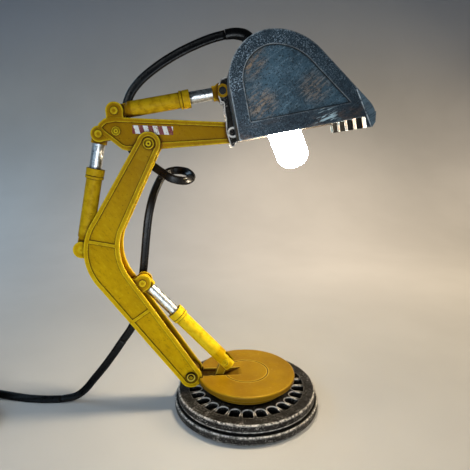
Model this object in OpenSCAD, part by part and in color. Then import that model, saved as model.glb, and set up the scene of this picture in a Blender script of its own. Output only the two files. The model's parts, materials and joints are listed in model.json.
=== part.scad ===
// Desk lamp in the shape of an excavator arm.
// A round base carries a turntable, a bent boom, a stick and a bucket that shades the bulb.
// Three cylinders with sliding rods follow the arm. The arm swings in the plane of X and Z.
// Z is up, X points from the boom to the bucket, and the origin is the base's centre on the desk.

/* [Base] */
// Diameter of the base flange
base_d = 112; // [106:1:124]
// Height of the flange's top edge
flange_top = 7; // [5:0.5:8]
// Diameter of the upper tier
tier_d = 107; // [103:1:110]
// Height of the tier's top face
tier_top = 14.5; // [14.2:0.1:16]
// Thickness of the felt pad
pad_t = 1; // [0.6:0.1:1.6]
// Number of pockets round the tier
pocket_count = 27; // [22:1:29]
// Width of one pocket
pocket_w = 7.6; // [6:0.2:8]
// Radius at the pockets' rounded inner ends
pocket_inner_r = 35.2; // [34:0.2:37]
// Radius at the pockets' outer ends
pocket_outer_r = 44.8; // [43:0.2:48]
// Depth of the pockets
pocket_depth = 4.2; // [2:0.2:6]

/* [Turntable] */
// Diameter of the turntable disc at its lower edge
table_d = 75.6; // [72:0.4:80]
// Thickness of the disc
table_t = 4.2; // [3:0.1:5.4]
// Height of the neck under the disc
neck_h = 5.9; // [5:0.1:7]
// Diameter of the neck
neck_d = 62; // [58:1:66]
// Radius round the disc's upper edge
table_round = 1.4; // [0.6:0.1:2]
// Radius of the ring groove in the disc
groove_r = 16.5; // [14:0.5:24]
// Width of the slot in the disc
slot_w = 11.8; // [11.4:0.1:12.6]
// Radius of the pivot spigot under the neck
spigot_r = 10; // [8:0.5:11]
// Thickness of the thrust washer
washer_t = 1; // [0.6:0.1:1.6]
// Distance of the boom cylinder's pin behind the turntable's middle
bracket_pin_back = 16.7; // [15:0.1:18]
// Rise of the boom cylinder's pin over the disc
bracket_pin_rise = 9.7; // [9:0.1:11]
// Distance of the bracket's screws inside the disc's edge
screw_in = 10.3; // [9:0.1:12]

/* [Boom] */
// Distance of the foot pin outside the turntable's edge
foot_out = 5.2; // [4.2:0.1:6]
// Distance back from the foot pin to the stick pivot
boom_back = 25.5; // [20:0.5:32]
// Rise from the foot pin to the stick pivot
boom_rise = 174.5; // [168:0.5:182]
// Distance back from the foot pin to the corner of the two legs
knee_back = 67.7; // [64:0.5:72]
// Rise from the foot pin to the corner of the two legs
knee_rise = 96.3; // [92:0.5:100]
// Length of each leg that the bend rounds off
knee_reach = 24; // [18:1:30]
// Radius of the boom's top end
boom_top_r = 8; // [7.4:0.1:9]
// Half depth of the boom above the bend
upper_half = 10.6; // [9.6:0.1:11.6]
// Half depth of the boom in the bend
knee_half = 12.6; // [11.6:0.1:13.4]
// Half depth of the boom below the bend
lower_half = 11.2; // [10.2:0.1:12]
// Radius of the boom's foot
foot_r = 8.3; // [7.6:0.1:9]
// Width of the boom over its rims
boom_w = 16.6; // [16:0.2:19]
// Width of the raised rims
rim_w = 3; // [2:0.1:3.6]
// Height of the raised rims
rim_h = 0.8; // [0.4:0.1:1]
// Distance of the web from the boom's edges
web_inset = 4.5; // [4:0.1:5.2]
// Distance back from the foot pin to the ears of the boom cylinder
boom_ear_back = 34; // [32:0.5:36]
// Rise from the foot pin to the ears of the boom cylinder
boom_ear_rise = 74.5; // [72:0.5:77]
// Distance back from the foot pin to the ears of the stick cylinder
back_ear_back = 76.2; // [75:0.1:78]
// Rise from the foot pin to the ears of the stick cylinder
back_ear_rise = 100; // [98:0.5:102]

/* [Stick] */
// Width of the stick
stick_w = 11; // [10.6:0.1:11.2]
// Distance from the stick pivot forward to the bucket pivot
stick_reach = 57.5; // [54:0.5:62]
// Rise from the stick pivot to the bucket pivot
stick_rise = 7.5; // [6.5:0.1:8.5]
// Radius of the stick's bucket end
stick_end_r = 7.2; // [6.6:0.1:7.6]
// Distance back from the stick pivot to the ears of the stick cylinder
tail_ear_back = 33.8; // [32:0.1:35]
// Rise from the stick pivot to the ears of the stick cylinder
tail_ear_rise = 6.5; // [6:0.1:7]
// Distance back from the stick pivot to the ears of the bucket cylinder
top_ear_back = 22.5; // [21:0.1:24]
// Rise from the stick pivot to the ears of the bucket cylinder
top_ear_rise = 21.8; // [21.4:0.1:23]
// Width of the border round the stick's panel
stick_border = 3; // [2:0.1:3.4]

/* [Cylinders] */
// Diameter of the chrome rods
rod_d = 8.4; // [7.8:0.1:8.5]
// Outer diameter of the barrels
barrel_d = 10.8; // [10.7:0.1:11.2]
// Outer diameter of the gland rings
gland_d = 12.6; // [12.2:0.1:13]
// Length of the gland rings
gland_len = 7; // [5:0.5:8]
// Room round a rod in its bore, for the swing of the arm
slide_play = 0.5; // [0.45:0.01:0.55]
// Radius of the eyes
eye_r = 5.2; // [4.6:0.1:5.3]
// Thickness of the eyes
eye_t = 5.2; // [4.6:0.1:5.4]
// Radius of the clevis ears
ear_r = 6; // [5.6:0.1:6.2]
// Length of the boom cylinder's barrel from its pin
boom_barrel_len = 55; // [50:0.5:58]
// Length of the stick cylinder's barrel from its pin
stick_barrel_len = 57.5; // [52:0.5:59]
// Length of the bucket cylinder's barrel from its pin
bucket_barrel_len = 50.5; // [48:0.5:53]

/* [Pins] */
// Radius of the cylinder pins
pin_r = 2; // [1.6:0.1:2.2]
// Radius of the arm's pivot pins
pivot_r = 3; // [2.6:0.1:3.2]
// Radius of the pivot pins' heads
pivot_head_r = 3.7; // [3.4:0.1:4.4]
// Width of the lip round the cylinder pins' heads
pin_lip = 0.5; // [0.3:0.1:1]
// Play of a pin in a bore that turns on it
run_fit = 0.06; // [0.02:0.01:0.1]
// Room between pieces that pass each other
gap = 0.3; // [0.25:0.01:0.35]

/* [Bucket] */
// Width of the bucket over its side plates
bucket_w = 78; // [70:1:86]
// Thickness of the side plates
side_t = 3; // [2.4:0.1:4]
// Thickness of the bucket's shell
shell_t = 2.4; // [1.8:0.1:3]
// Radius of the crown at the back
crown_r = 28; // [27:0.2:29]
// Radius of the crown at the front
brow_r = 40.8; // [39:0.2:43]
// Angle of the sloping front from level
slope_angle = 43.7; // [42:0.1:46]
// Reach from the bucket pivot to the lip
lip_reach = 87.9; // [84:0.1:92]
// Radius that turns the lip down
lip_r = 14; // [12:0.2:16]
// Thickness of the lip
lip_t = 5; // [4:0.1:6]
// Tilt of the mouth, lip side up
mouth_tilt = 10.9; // [8:0.1:13]
// Width of the rim round the side panels
panel_rim = 8.6; // [7:0.1:10]
// Height of the band under the side panels
panel_band = 10; // [9:0.2:13]
// Depth of the side panels
panel_depth = 1; // [0.5:0.1:1.5]
// Number of gaps between the teeth
tooth_gaps = 4; // [3:1:5]
// Spacing of the teeth
tooth_pitch = 18; // [16:0.2:19]
// Width of the gaps between the teeth
tooth_gap_w = 12; // [8:0.2:13]
// Length of the teeth under the lip
tooth_len = 7.6; // [5:0.2:9]
// Distance from the bucket pivot back to the pin of the bucket cylinder
bucket_ear_back = 6.8; // [6:0.1:8]
// Rise from the bucket pivot to the pin of the bucket cylinder
bucket_ear_rise = 27.4; // [26:0.1:29]
// Distance from the bucket pivot forward to the crown's centre
crown_out = 24; // [23:0.1:25]
// Rise from the bucket pivot to the crown's centre
crown_rise = 31; // [30:0.1:32]
// Distance from the bucket pivot forward to the heel
heel_out = 2.8; // [2:0.1:4]
// Drop from the bucket pivot to the heel
heel_drop = 6.5; // [6:0.1:7]
// Depth of the hinge pocket in the bucket's back
hinge_depth = 5.8; // [5.4:0.1:7]

/* [Lamp] */
// Tilt of the bulb from upright
lamp_tilt = 22.5; // [18:0.5:26]
// Diameter of the bulb
bulb_d = 22.6; // [20:0.2:25]
// Distance from the crown's centre to the bulb's tip
bulb_tip = 58.7; // [54:0.1:62]
// Radius of the lampholder's body
holder_r = 13; // [11.5:0.1:13.6]
// Radius of the lampholder's threaded stem
stem_r = 5; // [4.5:0.1:5.5]
// Radius of the bulb's cap
cap_r = 6.9; // [6.5:0.1:7.1]

/* [Cord] */
// Width of the flat twin cord
cord_w = 6.2; // [5.6:0.1:6.4]
// Thickness of the flat twin cord
cord_t = 3.1; // [2.8:0.1:3.2]
// Number of turns in the coil, half of them in each layer
coil_turns = 6; // [4:2:8]
// Radius of the coil's outer turn at the cord's middle
coil_r = 38; // [36:0.5:42]
// Step from turn to turn in one layer
coil_step = 4; // [3.8:0.1:4.4]
// Step from the lower layer to the upper one
coil_rise = 7.2; // [7.1:0.1:7.6]
// Extra tightening of the innermost turn where the cord climbs
coil_dip = 3.5; // [3.3:0.1:4.5]
// Length of the cord switch
switch_len = 58; // [50:1:64]
// Width of the cord switch
switch_w = 22; // [20:0.5:26]
// Height of the cord switch
switch_h = 16; // [14:0.5:18]
// Length of the plug's body
plug_len = 36; // [32:1:40]

/* [Hidden] */
$fn = 72;

// Colours
paint = "#d9a514";
ochre = "#b8862b";
gunmetal = "#39444c";
dark_iron = "#2b2724";
chrome = "#c9ccce";
steel = "#85888a";
black = "#17181a";

// Heights in the base and the turntable
neck_bottom = tier_top + washer_t + 0.05;
table_bottom = neck_bottom + neck_h;
table_top = table_bottom + table_t;
base_floor = pad_t;
ceiling = tier_top - 7.1;
base_wall = 7;
weight_hole_r = 17;
slot_skin = 3.8;
slot_floor = neck_bottom + slot_skin;
ramp_start = -bracket_pin_back - 1.3;
ramp_end = -bracket_pin_back + 12.7;

// Pins of the arm, each as X and Z
foot = [-(table_d / 2 + foot_out), table_top + 0.3];
top = foot + [-boom_back, boom_rise];
knee = foot + [-knee_back, knee_rise];
boom_ear = foot + [-boom_ear_back, boom_ear_rise];
back_ear = foot + [-back_ear_back, back_ear_rise];
bracket_pin = [-bracket_pin_back, table_top + bracket_pin_rise];
tail_ear = top + [-tail_ear_back, tail_ear_rise];
top_ear = top + [-top_ear_back, top_ear_rise];
bucket_pivot = top + [stick_reach, stick_rise];
bucket_ear = bucket_pivot + [-bucket_ear_back, bucket_ear_rise];

// Widths across the arm
fork_half = stick_w / 2 + gap;
boom_half = boom_w / 2;
panel_half = boom_half - rim_h;
eye_half = eye_t / 2;
ear_in = eye_half + 0.2;
ear_out = 5.3;
head_t = 1.2;
pivot_head_t = 1.6;
ear_bore = pin_r + 0.02;
eye_bore = pin_r + run_fit;

// Boom centre line: two legs joined by a curve
upper_dir = unit(top - knee);
lower_dir = unit(foot - knee);
bend_start = knee + knee_reach * upper_dir;
bend_end = knee + knee_reach * lower_dir;
bend_steps = 14;
blend_bite = 0.25;
knee_bulge = knee_half - (upper_half + lower_half) / 2;
rib_w = 2.2;
rib_bend = 0.3;
rib_lower = 61.7;

// Cylinders
rod_r = rod_d / 2;
barrel_r = barrel_d / 2;
gland_r = gland_d / 2;
slide_r = rod_r + slide_play;
barrel_start = ear_r + 0.8;
barrel_chamfer = 1.2;
neck_half = eye_r - barrel_chamfer;
stud_r = 2;
stud_len = 5;
bucket_eye_r = ear_r + 0.5;
boom_shift = 0.21;
stick_shift = 0.38;
bucket_shift = 0.32;

// Bucket
crown = bucket_pivot + [crown_out, crown_rise];
brow = crown + [0, crown_r - brow_r];
slope_normal = 90 - slope_angle;
heel = bucket_pivot + [heel_out, -heel_drop];
lip_x = bucket_pivot.x + lip_reach;
slope_reach = brow * turn(slope_normal) + brow_r;
lip_centre_x = lip_x - lip_r;
lip_centre = [lip_centre_x, (slope_reach - lip_r - lip_centre_x * cos(slope_normal)) / sin(slope_normal)];
heel_gap = crown - heel;
back_angle = atan2(heel_gap.y, heel_gap.x) + asin(crown_r / norm(heel_gap));
inner_half = bucket_w / 2 - side_t;
lip_start_x = lip_x - 11;
notch_half = 9.1;
notch_top = bucket_pivot.y + 11;
bracket_half = notch_half - 0.1;
pocket_half = bucket_eye_r + 0.7;
hinge_wall_t = 1.4;
hinge_top = bucket_ear.y + pocket_half + hinge_wall_t;

// Lamp, along an axis from the crown's centre
lamp_at = crown + [0.4, 0];
lamp_axis = [sin(lamp_tilt), -cos(lamp_tilt)];
stem_back = -crown_r - 1.4;
boot_at = lift(lamp_at + (stem_back - 0.75) * lamp_axis, 0);

// Coil's place on the desk
coil_centre = [-228, -20];
coil_base = 4.2;
coil_rings = 24;

// Places of the cord clips on the arm
stick_clip_at = lift(top, 0) + [-17.5, 10.8, 13.15];
boom_clip_at = lift(foot, 0) + [-39.4, 14, 60.05];

// Cord route, in stretches that meet end to end
boot_route = [
    boot_at, boot_at + [-1.45, 0, 3.4], boot_at + [-5.25, 0, 5.9], boot_at + [-11.15, 0, 6.7],
    boot_at + [-17.35, 0.2, 6]
];
arch_route = [
    boot_route[4] + [-0.75, 0.05, -0.15], [-26, 1, 270], [-39, 2, 265], [-52, 3.5, 258.8], [-64, 5, 251.5],
    [-74.5, 7, 243.6], [-82, 8.8, 235], [-85.6, 10, 226], [-86, 10.8, 219], stick_clip_at
];
loop_route = [
    stick_clip_at, [-86, 10.8, 204], [-83, 11.8, 196], [-76.5, 13, 189.5], [-70, 13.4, 185.5],
    [-62, 11.5, 180], [-54.5, 9.8, 175.5], [-45, 12.5, 173.8], [-40.8, 21, 176], [-45, 30.5, 179.6],
    [-54.5, 33.5, 180.6], [-62.5, 29, 177.5], [-67, 22.5, 170], [-70.5, 16.8, 160],
    [-73.5, 14.4, 147], [-75.7, 14, 132], [-77.5, 14, 117], [-79.2, 14, 104],
    [-81.2, 14, 94], boom_clip_at
];
drop_route = [
    boom_clip_at + [-0.08, 0, -0.6], [-83.4, 14, 78], [-85.5, 13.5, 68], [-90, 12.6, 58.5], [-97, 11.8, 48.5]
];
lead_route = [
    drop_route[4] + [-0.17, -0.02, -0.25], [-104.4, 11, 37.9], [-112.6, 10.4, 27], [-120.5, 10, 17.5],
    [-128, 9.4, 8.8], [-136, 8.8, 3.4], [-147, 8, 1.7]
];
floor_route = [
    [-147.6, 8, 1.7], [-160, 8.4, 1.7], [-173, 10.2, 1.8], [-186, 13.2, 2.4], [-200, 16.4, 3.3],
    [-214, 18, 4], coil_end(0)
];
tail_route = [
    coil_end(1), [-242, 18.2, 11], [-256, 16, 9.2], [-268, 10.5, 7.6], [-277, 2, 6.8],
    [-282.5, -8, 6.5], [-284, -18, 6.5]
];
end_route = [
    tail_route[6] - [0, switch_len, 0], [-284, -82, 6.5], [-281.5, -91, 6.6], [-275, -98, 6.7],
    [-266, -101.5, 6.8], [-255, -102, 6.8]
];
tie_angle = 225;
tie_w = 10;
tie_t = 0.8;

// Vector helpers
function unit(v) = v / norm(v);
function turn(a) = [cos(a), sin(a)];
function lift(p, y) = [p.x, y, p.y];
function mix(a, b, t) = a + (b - a) * t;
function arc(centre, r, from, to, steps) =
    [for (i = [0:steps]) centre + r * turn(mix(from, to, i / steps))];

// Places along the boom: point, direction and half depth
function bend_point(t) = (1 - t) ^ 2 * bend_start + 2 * t * (1 - t) * knee + t ^ 2 * bend_end;
function bend_dir(t) = unit((1 - t) * (knee - bend_start) + t * (bend_end - knee));
function bend_half(t) = mix(upper_half, lower_half, t) + knee_bulge * 4 * t * (1 - t);
boom_line = concat(
    [[top, -upper_dir, boom_top_r - blend_bite]],
    [for (i = [0:bend_steps]) let (t = i / bend_steps) [bend_point(t), bend_dir(t), bend_half(t)]],
    [[foot, lower_dir, foot_r - blend_bite]]
);
function boom_edge(side, inset) =
    [for (s = boom_line) s[0] + side * (s[2] - inset) * [-s[1].y, s[1].x]];
function reversed(list) = [for (i = [len(list) - 1:-1:0]) list[i]];

// Bucket outline at a distance inside its outer face
function crown_curve(inset) = concat(
    arc(crown, crown_r - inset, back_angle + 90, 90, 20),
    arc(brow, brow_r - inset, 90, slope_normal, 10),
    arc(lip_centre, lip_r - inset, slope_normal, 0, 10)
);
function back_point(inset, below) =
    crown + (crown_r - inset) * turn(back_angle + 90) - below * turn(back_angle);
mouth_dir = turn(mouth_tilt);
mouth_up = turn(mouth_tilt + 90);

// Extrudes an outline in X and Z from one depth to another
module plate(from, to) {
    translate([0, to, 0])
        rotate([90, 0, 0])
            linear_extrude(to - from)
                children();
}

// The same at both sides of the arm
module plates(from, to) {
    plate(from, to) children();
    plate(-to, -from) children();
}

// Round bar across the arm
module bar(at, r, from, to) {
    plate(from, to) translate(at) circle(r);
}

// Puts a shape that stands on Z along the line between two pins
module along(from, to) {
    way = to - from;
    translate(lift(from, 0))
        rotate([0, atan2(way.x, way.y), 0])
            children();
}

// Puts a shape on the lamp's axis, with Z towards the bulb's tip
module on_lamp() {
    translate(lift(lamp_at, 0))
        rotate([0, 180 - lamp_tilt, 0])
            children();
}

// Pin with a head at each end; a marked head has a ring groove and a centre hole
module headed_pin(at, r, head_r, half, head, marked = false) {
    difference() {
        union() {
            bar(at, r, -half - head, half + head);
            plates(half + 0.02, half + head) translate(at) circle(head_r);
        }
        if (marked)
            plates(half + 0.4 * head, half + head + 1)
                translate(at) {
                    difference() {
                        circle(0.8 * head_r);
                        circle(0.5 * head_r);
                    }
                    circle(0.2 * head_r);
                }
    }
}

// Tube of a flat section swept along points, turning from one facing to another
function facing(points, i, m0, m1) = let (
        last = len(points) - 1,
        t = unit(points[min(i + 1, last)] - points[max(i - 1, 0)]),
        m = mix(m0, m1, i / last),
        n = unit(m - (m * t) * t)
    ) [n, cross(t, n)];
function section(w, h, sides) = sides == 6
    ? [[w / 2, 0], [w / 4, h / 2], [-w / 4, h / 2], [-w / 2, 0], [-w / 4, -h / 2], [w / 4, -h / 2]]
    : [[w / 2, h / 5], [w / 3, h / 2], [-w / 3, h / 2], [-w / 2, h / 5],
       [-w / 2, -h / 5], [-w / 3, -h / 2], [w / 3, -h / 2], [w / 2, -h / 5]];
module swept(points, m0, m1, w0, h0, w1, h1, sides = 8) {
    last = len(points) - 1;
    rings = [for (i = [0:last]) let (f = facing(points, i, m0, m1), k = i / last)
        for (s = section(mix(w0, w1, k), mix(h0, h1, k), sides)) points[i] + s.x * f[1] + s.y * f[0]];
    sides_faces = [for (i = [0:last - 1], j = [0:sides - 1])
        let (a = i * sides + j, b = i * sides + (j + 1) % sides)
        for (f = [[a, b, a + sides], [b, b + sides, a + sides]]) f];
    start_face = [for (j = [1:sides - 2]) [0, j + 1, j]];
    end_at = last * sides;
    end_face = [for (j = [1:sides - 2]) [end_at, end_at + j, end_at + j + 1]];
    polyhedron(rings, concat(sides_faces, start_face, end_face));
}
module cord(points, m0, m1) {
    color(black) swept(points, m0, m1, cord_w, cord_t, cord_w, cord_t);
}

// Base
module base_casting() {
    rim = 0.9;
    color(dark_iron)
        difference() {
            rotate_extrude()
                polygon([
                    [0, base_floor], [base_d / 2 - 0.6, base_floor], [base_d / 2, base_floor + 0.6],
                    [base_d / 2, flange_top - rim], [base_d / 2 - rim, flange_top],
                    [tier_d / 2 - 0.8, flange_top], [tier_d / 2 - 0.8, flange_top + 1],
                    [tier_d / 2, flange_top + 1.8], [tier_d / 2, tier_top - rim],
                    [tier_d / 2 - rim, tier_top], [0, tier_top]
                ]);
            translate([0, 0, base_floor - 1])
                cylinder(r = tier_d / 2 - base_wall, h = ceiling - base_floor + 1);
            cylinder(r = spigot_r + run_fit, h = tier_top + 1);
            for (i = [0:pocket_count - 1])
                rotate([0, 0, i * 360 / pocket_count])
                    translate([0, 0, tier_top - pocket_depth])
                        pocket();
        }
}

// One pocket along X, round at its inner end
module pocket() {
    straight = pocket_inner_r + pocket_w / 2;
    translate([straight, 0, 0])
        cylinder(d = pocket_w, h = pocket_depth + 1, $fn = 32);
    translate([straight, -pocket_w / 2, 0])
        cube([pocket_outer_r - straight, pocket_w, pocket_depth + 1]);
}

module base_weight() {
    color(steel)
        translate([0, 0, base_floor + 0.2])
            difference() {
                cylinder(r = tier_d / 2 - base_wall - gap, h = ceiling - base_floor - 0.2);
                translate([0, 0, -1]) cylinder(r = weight_hole_r, h = ceiling + 2);
            }
}

module base_pad() {
    color("#1c1c1e") cylinder(r = base_d / 2 - 1.5, h = pad_t);
}

module thrust_washer() {
    color("#a8803a")
        translate([0, 0, tier_top])
            difference() {
                cylinder(r = neck_d / 2 - 4, h = washer_t);
                translate([0, 0, -1]) cylinder(r = spigot_r + 1, h = washer_t + 2);
            }
}

// Turntable
module turntable() {
    edge = table_d / 2;
    groove = 0.9;
    color(ochre)
        difference() {
            union() {
                translate([0, 0, table_bottom])
                    rotate_extrude()
                        polygon(concat(
                            [[0, 0], [edge - 0.5, 0], [edge, 0.5]],
                            arc([edge - table_round, table_t - table_round], table_round, 0, 90, 5),
                            [[0, table_t]]
                        ));
                translate([0, 0, neck_bottom]) cylinder(d = neck_d, h = neck_h + 0.5);
                translate([0, 0, ceiling + 0.1])
                    cylinder(r = spigot_r, h = neck_bottom - ceiling);
            }
            plate(-slot_w / 2, slot_w / 2)
                polygon([
                    [-edge - 2, slot_floor], [ramp_start, slot_floor],
                    [ramp_end, table_top + 0.01], [ramp_end, table_top + 2], [-edge - 2, table_top + 2]
                ]);
            bar(foot, foot_r + 1, -boom_half - 0.6, boom_half + 0.6);
            translate([0, 0, table_top - groove])
                rotate_extrude()
                    translate([groove_r, 0]) square([groove, groove + 1]);
            translate([0, 0, ceiling - 1]) cylinder(r = 3.02, h = 10);
            bracket_screw_places() translate([0, 0, neck_bottom + 0.3]) cylinder(r = 1.52, h = slot_skin + 1);
        }
}

module bracket_screw_places() {
    for (side = [-1, 1])
        translate([screw_in - table_d / 2, side * 2.9, 0]) children();
}

module boom_bracket() {
    bar_top = slot_floor + 4;
    lug_r = 6.5;
    half = slot_w / 2 - 0.4;
    color(ochre)
        difference() {
            union() {
                plate(-half, half) {
                    polygon([
                        [foot.x - 5, slot_floor], [ramp_start - 1, slot_floor],
                        [ramp_start - 1, bar_top], [foot.x - 5, bar_top]
                    ]);
                    translate(foot) circle(lug_r);
                    translate([foot.x - lug_r, slot_floor]) square([2 * lug_r, foot.y - slot_floor]);
                }
                plate(-eye_half, eye_half) {
                    translate(bracket_pin) circle(3.6);
                    polygon([
                        [ramp_start - 7, bar_top - 1], [ramp_start - 1, bar_top - 1],
                        bracket_pin + [3.6, 0], bracket_pin + [-3.6, 0]
                    ]);
                }
            }
            bar(foot, pivot_r + run_fit, -half - 1, half + 1);
            bar(bracket_pin, ear_bore, -half, half);
            bracket_screw_places() {
                translate([0, 0, slot_floor - 1]) cylinder(r = 1.55, h = 8);
                translate([0, 0, bar_top - 1.5]) cylinder(r = 2.5, h = 8);
            }
        }
}

module bracket_screws() {
    bar_top = slot_floor + 4;
    color(ochre)
        bracket_screw_places() {
            translate([0, 0, neck_bottom + 0.4]) cylinder(r = 1.5, h = bar_top - neck_bottom - 1.7);
            translate([0, 0, bar_top - 1.4]) cylinder(r = 2.4, h = 1.2);
        }
}

module slew_retainer() {
    color(steel)
        translate([0, 0, ceiling - 2])
            difference() {
                cylinder(r = spigot_r + 4, h = 1.9);
                translate([0, 0, -1]) cylinder(r = 3.1, h = 4);
            }
}

module slew_bolt() {
    color(steel) {
        translate([0, 0, ceiling - 5.5]) cylinder(r = 5.8, h = 3.4, $fn = 6);
        translate([0, 0, ceiling - 2.2]) cylinder(r = 3, h = 10.5);
    }
}

// Boom outline at a distance inside its edges
module boom_shape(inset) {
    polygon(concat(boom_edge(1, inset), reversed(boom_edge(-1, inset))));
    translate(top) circle(boom_top_r - inset);
    translate(foot) circle(foot_r - inset);
}

module boom_rib(at, dir) {
    translate(at) rotate(atan2(dir.y, dir.x)) square([rib_w, 4 * knee_half], center = true);
}

// An ear round a pin with a straight root of its own width
module ear(at, r, root_angle, root) {
    translate(at) circle(r);
    half = r - blend_bite;
    translate(at) rotate(root_angle) translate([0, -half]) square([root, 2 * half]);
}

module boom() {
    back_way = unit(tail_ear - back_ear);
    back_turn = atan2(back_way.y, back_way.x);
    front_turn = atan2(lower_dir.y, lower_dir.x) - 90;
    color(paint)
        difference() {
            union() {
                plates(fork_half, panel_half) boom_shape(0);
                plates(panel_half - 0.1, boom_half)
                    difference() {
                        boom_shape(0);
                        difference() {
                            boom_shape(rim_w);
                            boom_rib(bend_point(rib_bend), bend_dir(rib_bend));
                            boom_rib(foot - rib_lower * lower_dir, lower_dir);
                        }
                    }
                plate(-fork_half - 0.1, fork_half + 0.1)
                    difference() {
                        boom_shape(web_inset);
                        translate(top) circle(13);
                        translate(foot) circle(9.5);
                        translate(boom_ear) circle(eye_r + 0.6);
                        translate(back_ear) circle(eye_r + 0.6);
                        translate(back_ear) rotate(back_turn)
                            translate([0, -barrel_r - 0.7]) square([45, 2 * barrel_r + 1.4]);
                    }
                plates(ear_in, ear_out) {
                    ear(boom_ear, ear_r, front_turn, 12);
                    ear(back_ear, ear_r, back_turn - 90, 11);
                }
            }
            bar(top, pivot_r + 0.02, -boom_half - 1, boom_half + 1);
            bar(foot, pivot_r + 0.02, -boom_half - 1, boom_half + 1);
            bar(boom_ear, ear_bore, -ear_out - 0.5, ear_out + 0.5);
            bar(back_ear, ear_bore, -ear_out - 0.5, ear_out + 0.5);
            plates(ear_out + 0.05, fork_half + 0.2) translate(back_ear) circle(pin_r + 1);
        }
}

module boom_foot_pin() {
    color(paint) headed_pin(foot, pivot_r, pivot_head_r, panel_half, pivot_head_t, true);
}

module stick_pivot_pin() {
    color(paint) headed_pin(top, pivot_r, pivot_head_r, panel_half, pivot_head_t, true);
}

// Saddle that holds the flat cord against the far side of an arm
module cord_clip(at, tilt, seat) {
    height = 5;
    wall = 1.4;
    deep = at.y + cord_t / 2 + wall + 0.35 - seat;
    color(black)
        translate([at.x, seat, at.z])
            rotate([0, tilt, 0])
                difference() {
                    translate([-cord_w / 2 - wall, 0, -height / 2]) cube([cord_w + 2 * wall, deep, height]);
                    translate([-cord_w / 2 - 0.35, at.y - seat - cord_t / 2 - 0.35, -height])
                        cube([cord_w + 0.7, cord_t + 0.7, 2 * height]);
                }
}

module boom_cord_clip() {
    cord_clip(boom_clip_at, -173, panel_half);
}

module stick_cord_clip() {
    cord_clip(stick_clip_at, 0, stick_w / 2);
}

// Cylinders
module barrel(from, to, length, shift) {
    color(paint)
        along(from, to)
            difference() {
                union() {
                    rotate([90, 0, 0]) cylinder(r = eye_r, h = eye_t, center = true);
                    translate([-neck_half, -eye_half, 0]) cube([2 * neck_half, eye_t, barrel_start + 1]);
                    translate([shift, 0, barrel_start])
                        cylinder(r1 = barrel_r - barrel_chamfer, r2 = barrel_r, h = 2 * barrel_chamfer);
                    translate([shift, 0, barrel_start + 2 * barrel_chamfer])
                        cylinder(r = barrel_r, h = length - barrel_start - 2 * barrel_chamfer);
                }
                rotate([90, 0, 0]) cylinder(r = eye_bore, h = 20, center = true);
                translate([shift, 0, barrel_start + 5]) cylinder(r = slide_r, h = length);
            }
}

// Barrel with a forked foot that straddles its lug
module forked_barrel(from, to, length, shift) {
    foot_len = 5.6;
    color(paint)
        along(from, to)
            difference() {
                translate([shift, 0, -foot_len]) cylinder(r = barrel_r, h = length + foot_len);
                translate([-20, -ear_in, -foot_len - 1]) cube([40, 2 * ear_in, foot_len + 6]);
                rotate([90, 0, 0]) cylinder(r = eye_bore, h = 20, center = true);
                translate([shift, 0, barrel_start + 5]) cylinder(r = slide_r, h = length);
            }
}

module gland(from, to, length, shift) {
    cap = 1.2;
    color(paint)
        along(from, to)
            translate([shift, 0, length + cap - gland_len])
                difference() {
                    cylinder(r = gland_r, h = gland_len);
                    translate([0, 0, -1]) cylinder(r = barrel_r + 0.02, h = gland_len - cap + 1);
                    cylinder(r = slide_r, h = gland_len + 1);
                    translate([0, 0, 1.6])
                        rotate_extrude() translate([gland_r - 0.4, 0]) square([1, 0.6]);
                }
}

function pin_distance(from, to) = norm(to - from);
function neck_start(from, to) = pin_distance(from, to) - barrel_start;

module rod(from, to, length) {
    start = length - 24;
    color(chrome)
        along(from, to)
            difference() {
                translate([0, 0, start]) cylinder(r = rod_r, h = neck_start(from, to) - start);
                translate([0, 0, neck_start(from, to) - stud_len - 0.3])
                    cylinder(r = stud_r + 0.02, h = stud_len + 1);
            }
}

module rod_end(from, to, r) {
    reach = pin_distance(from, to);
    start = neck_start(from, to);
    half = eye_r - blend_bite;
    color(paint)
        along(from, to)
            difference() {
                union() {
                    translate([0, 0, reach])
                        rotate([90, 0, 0]) cylinder(r = r, h = eye_t, center = true);
                    translate([-half, -eye_half, start]) cube([2 * half, eye_t, barrel_start]);
                    translate([0, 0, start - stud_len]) cylinder(r = stud_r, h = stud_len + 1);
                }
                translate([0, 0, reach])
                    rotate([90, 0, 0]) cylinder(r = eye_bore, h = 20, center = true);
            }
}

module boom_cylinder_base_pin() {
    color(paint) bar(bracket_pin, pin_r, -ear_out + 0.3, ear_out - 0.3);
}
module boom_cylinder_barrel() {
    forked_barrel(bracket_pin, boom_ear, boom_barrel_len, boom_shift);
}
module boom_cylinder_gland() {
    gland(bracket_pin, boom_ear, boom_barrel_len, boom_shift);
}
module boom_cylinder_rod() {
    rod(bracket_pin, boom_ear, boom_barrel_len);
}
module boom_cylinder_rod_end() {
    rod_end(bracket_pin, boom_ear, eye_r);
}
module boom_cylinder_rod_pin() {
    color(paint) headed_pin(boom_ear, pin_r, pin_r + pin_lip, ear_out, head_t);
}

module stick_cylinder_base_pin() {
    color(paint) bar(back_ear, pin_r, -ear_out, ear_out);
}
module stick_cylinder_barrel() {
    barrel(back_ear, tail_ear, stick_barrel_len, stick_shift);
}
module stick_cylinder_gland() {
    gland(back_ear, tail_ear, stick_barrel_len, stick_shift);
}
module stick_cylinder_rod() {
    rod(back_ear, tail_ear, stick_barrel_len);
}
module stick_cylinder_rod_end() {
    rod_end(back_ear, tail_ear, eye_r);
}
module stick_cylinder_rod_pin() {
    color(paint) headed_pin(tail_ear, pin_r, pin_r + pin_lip, stick_w / 2, head_t);
}

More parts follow.
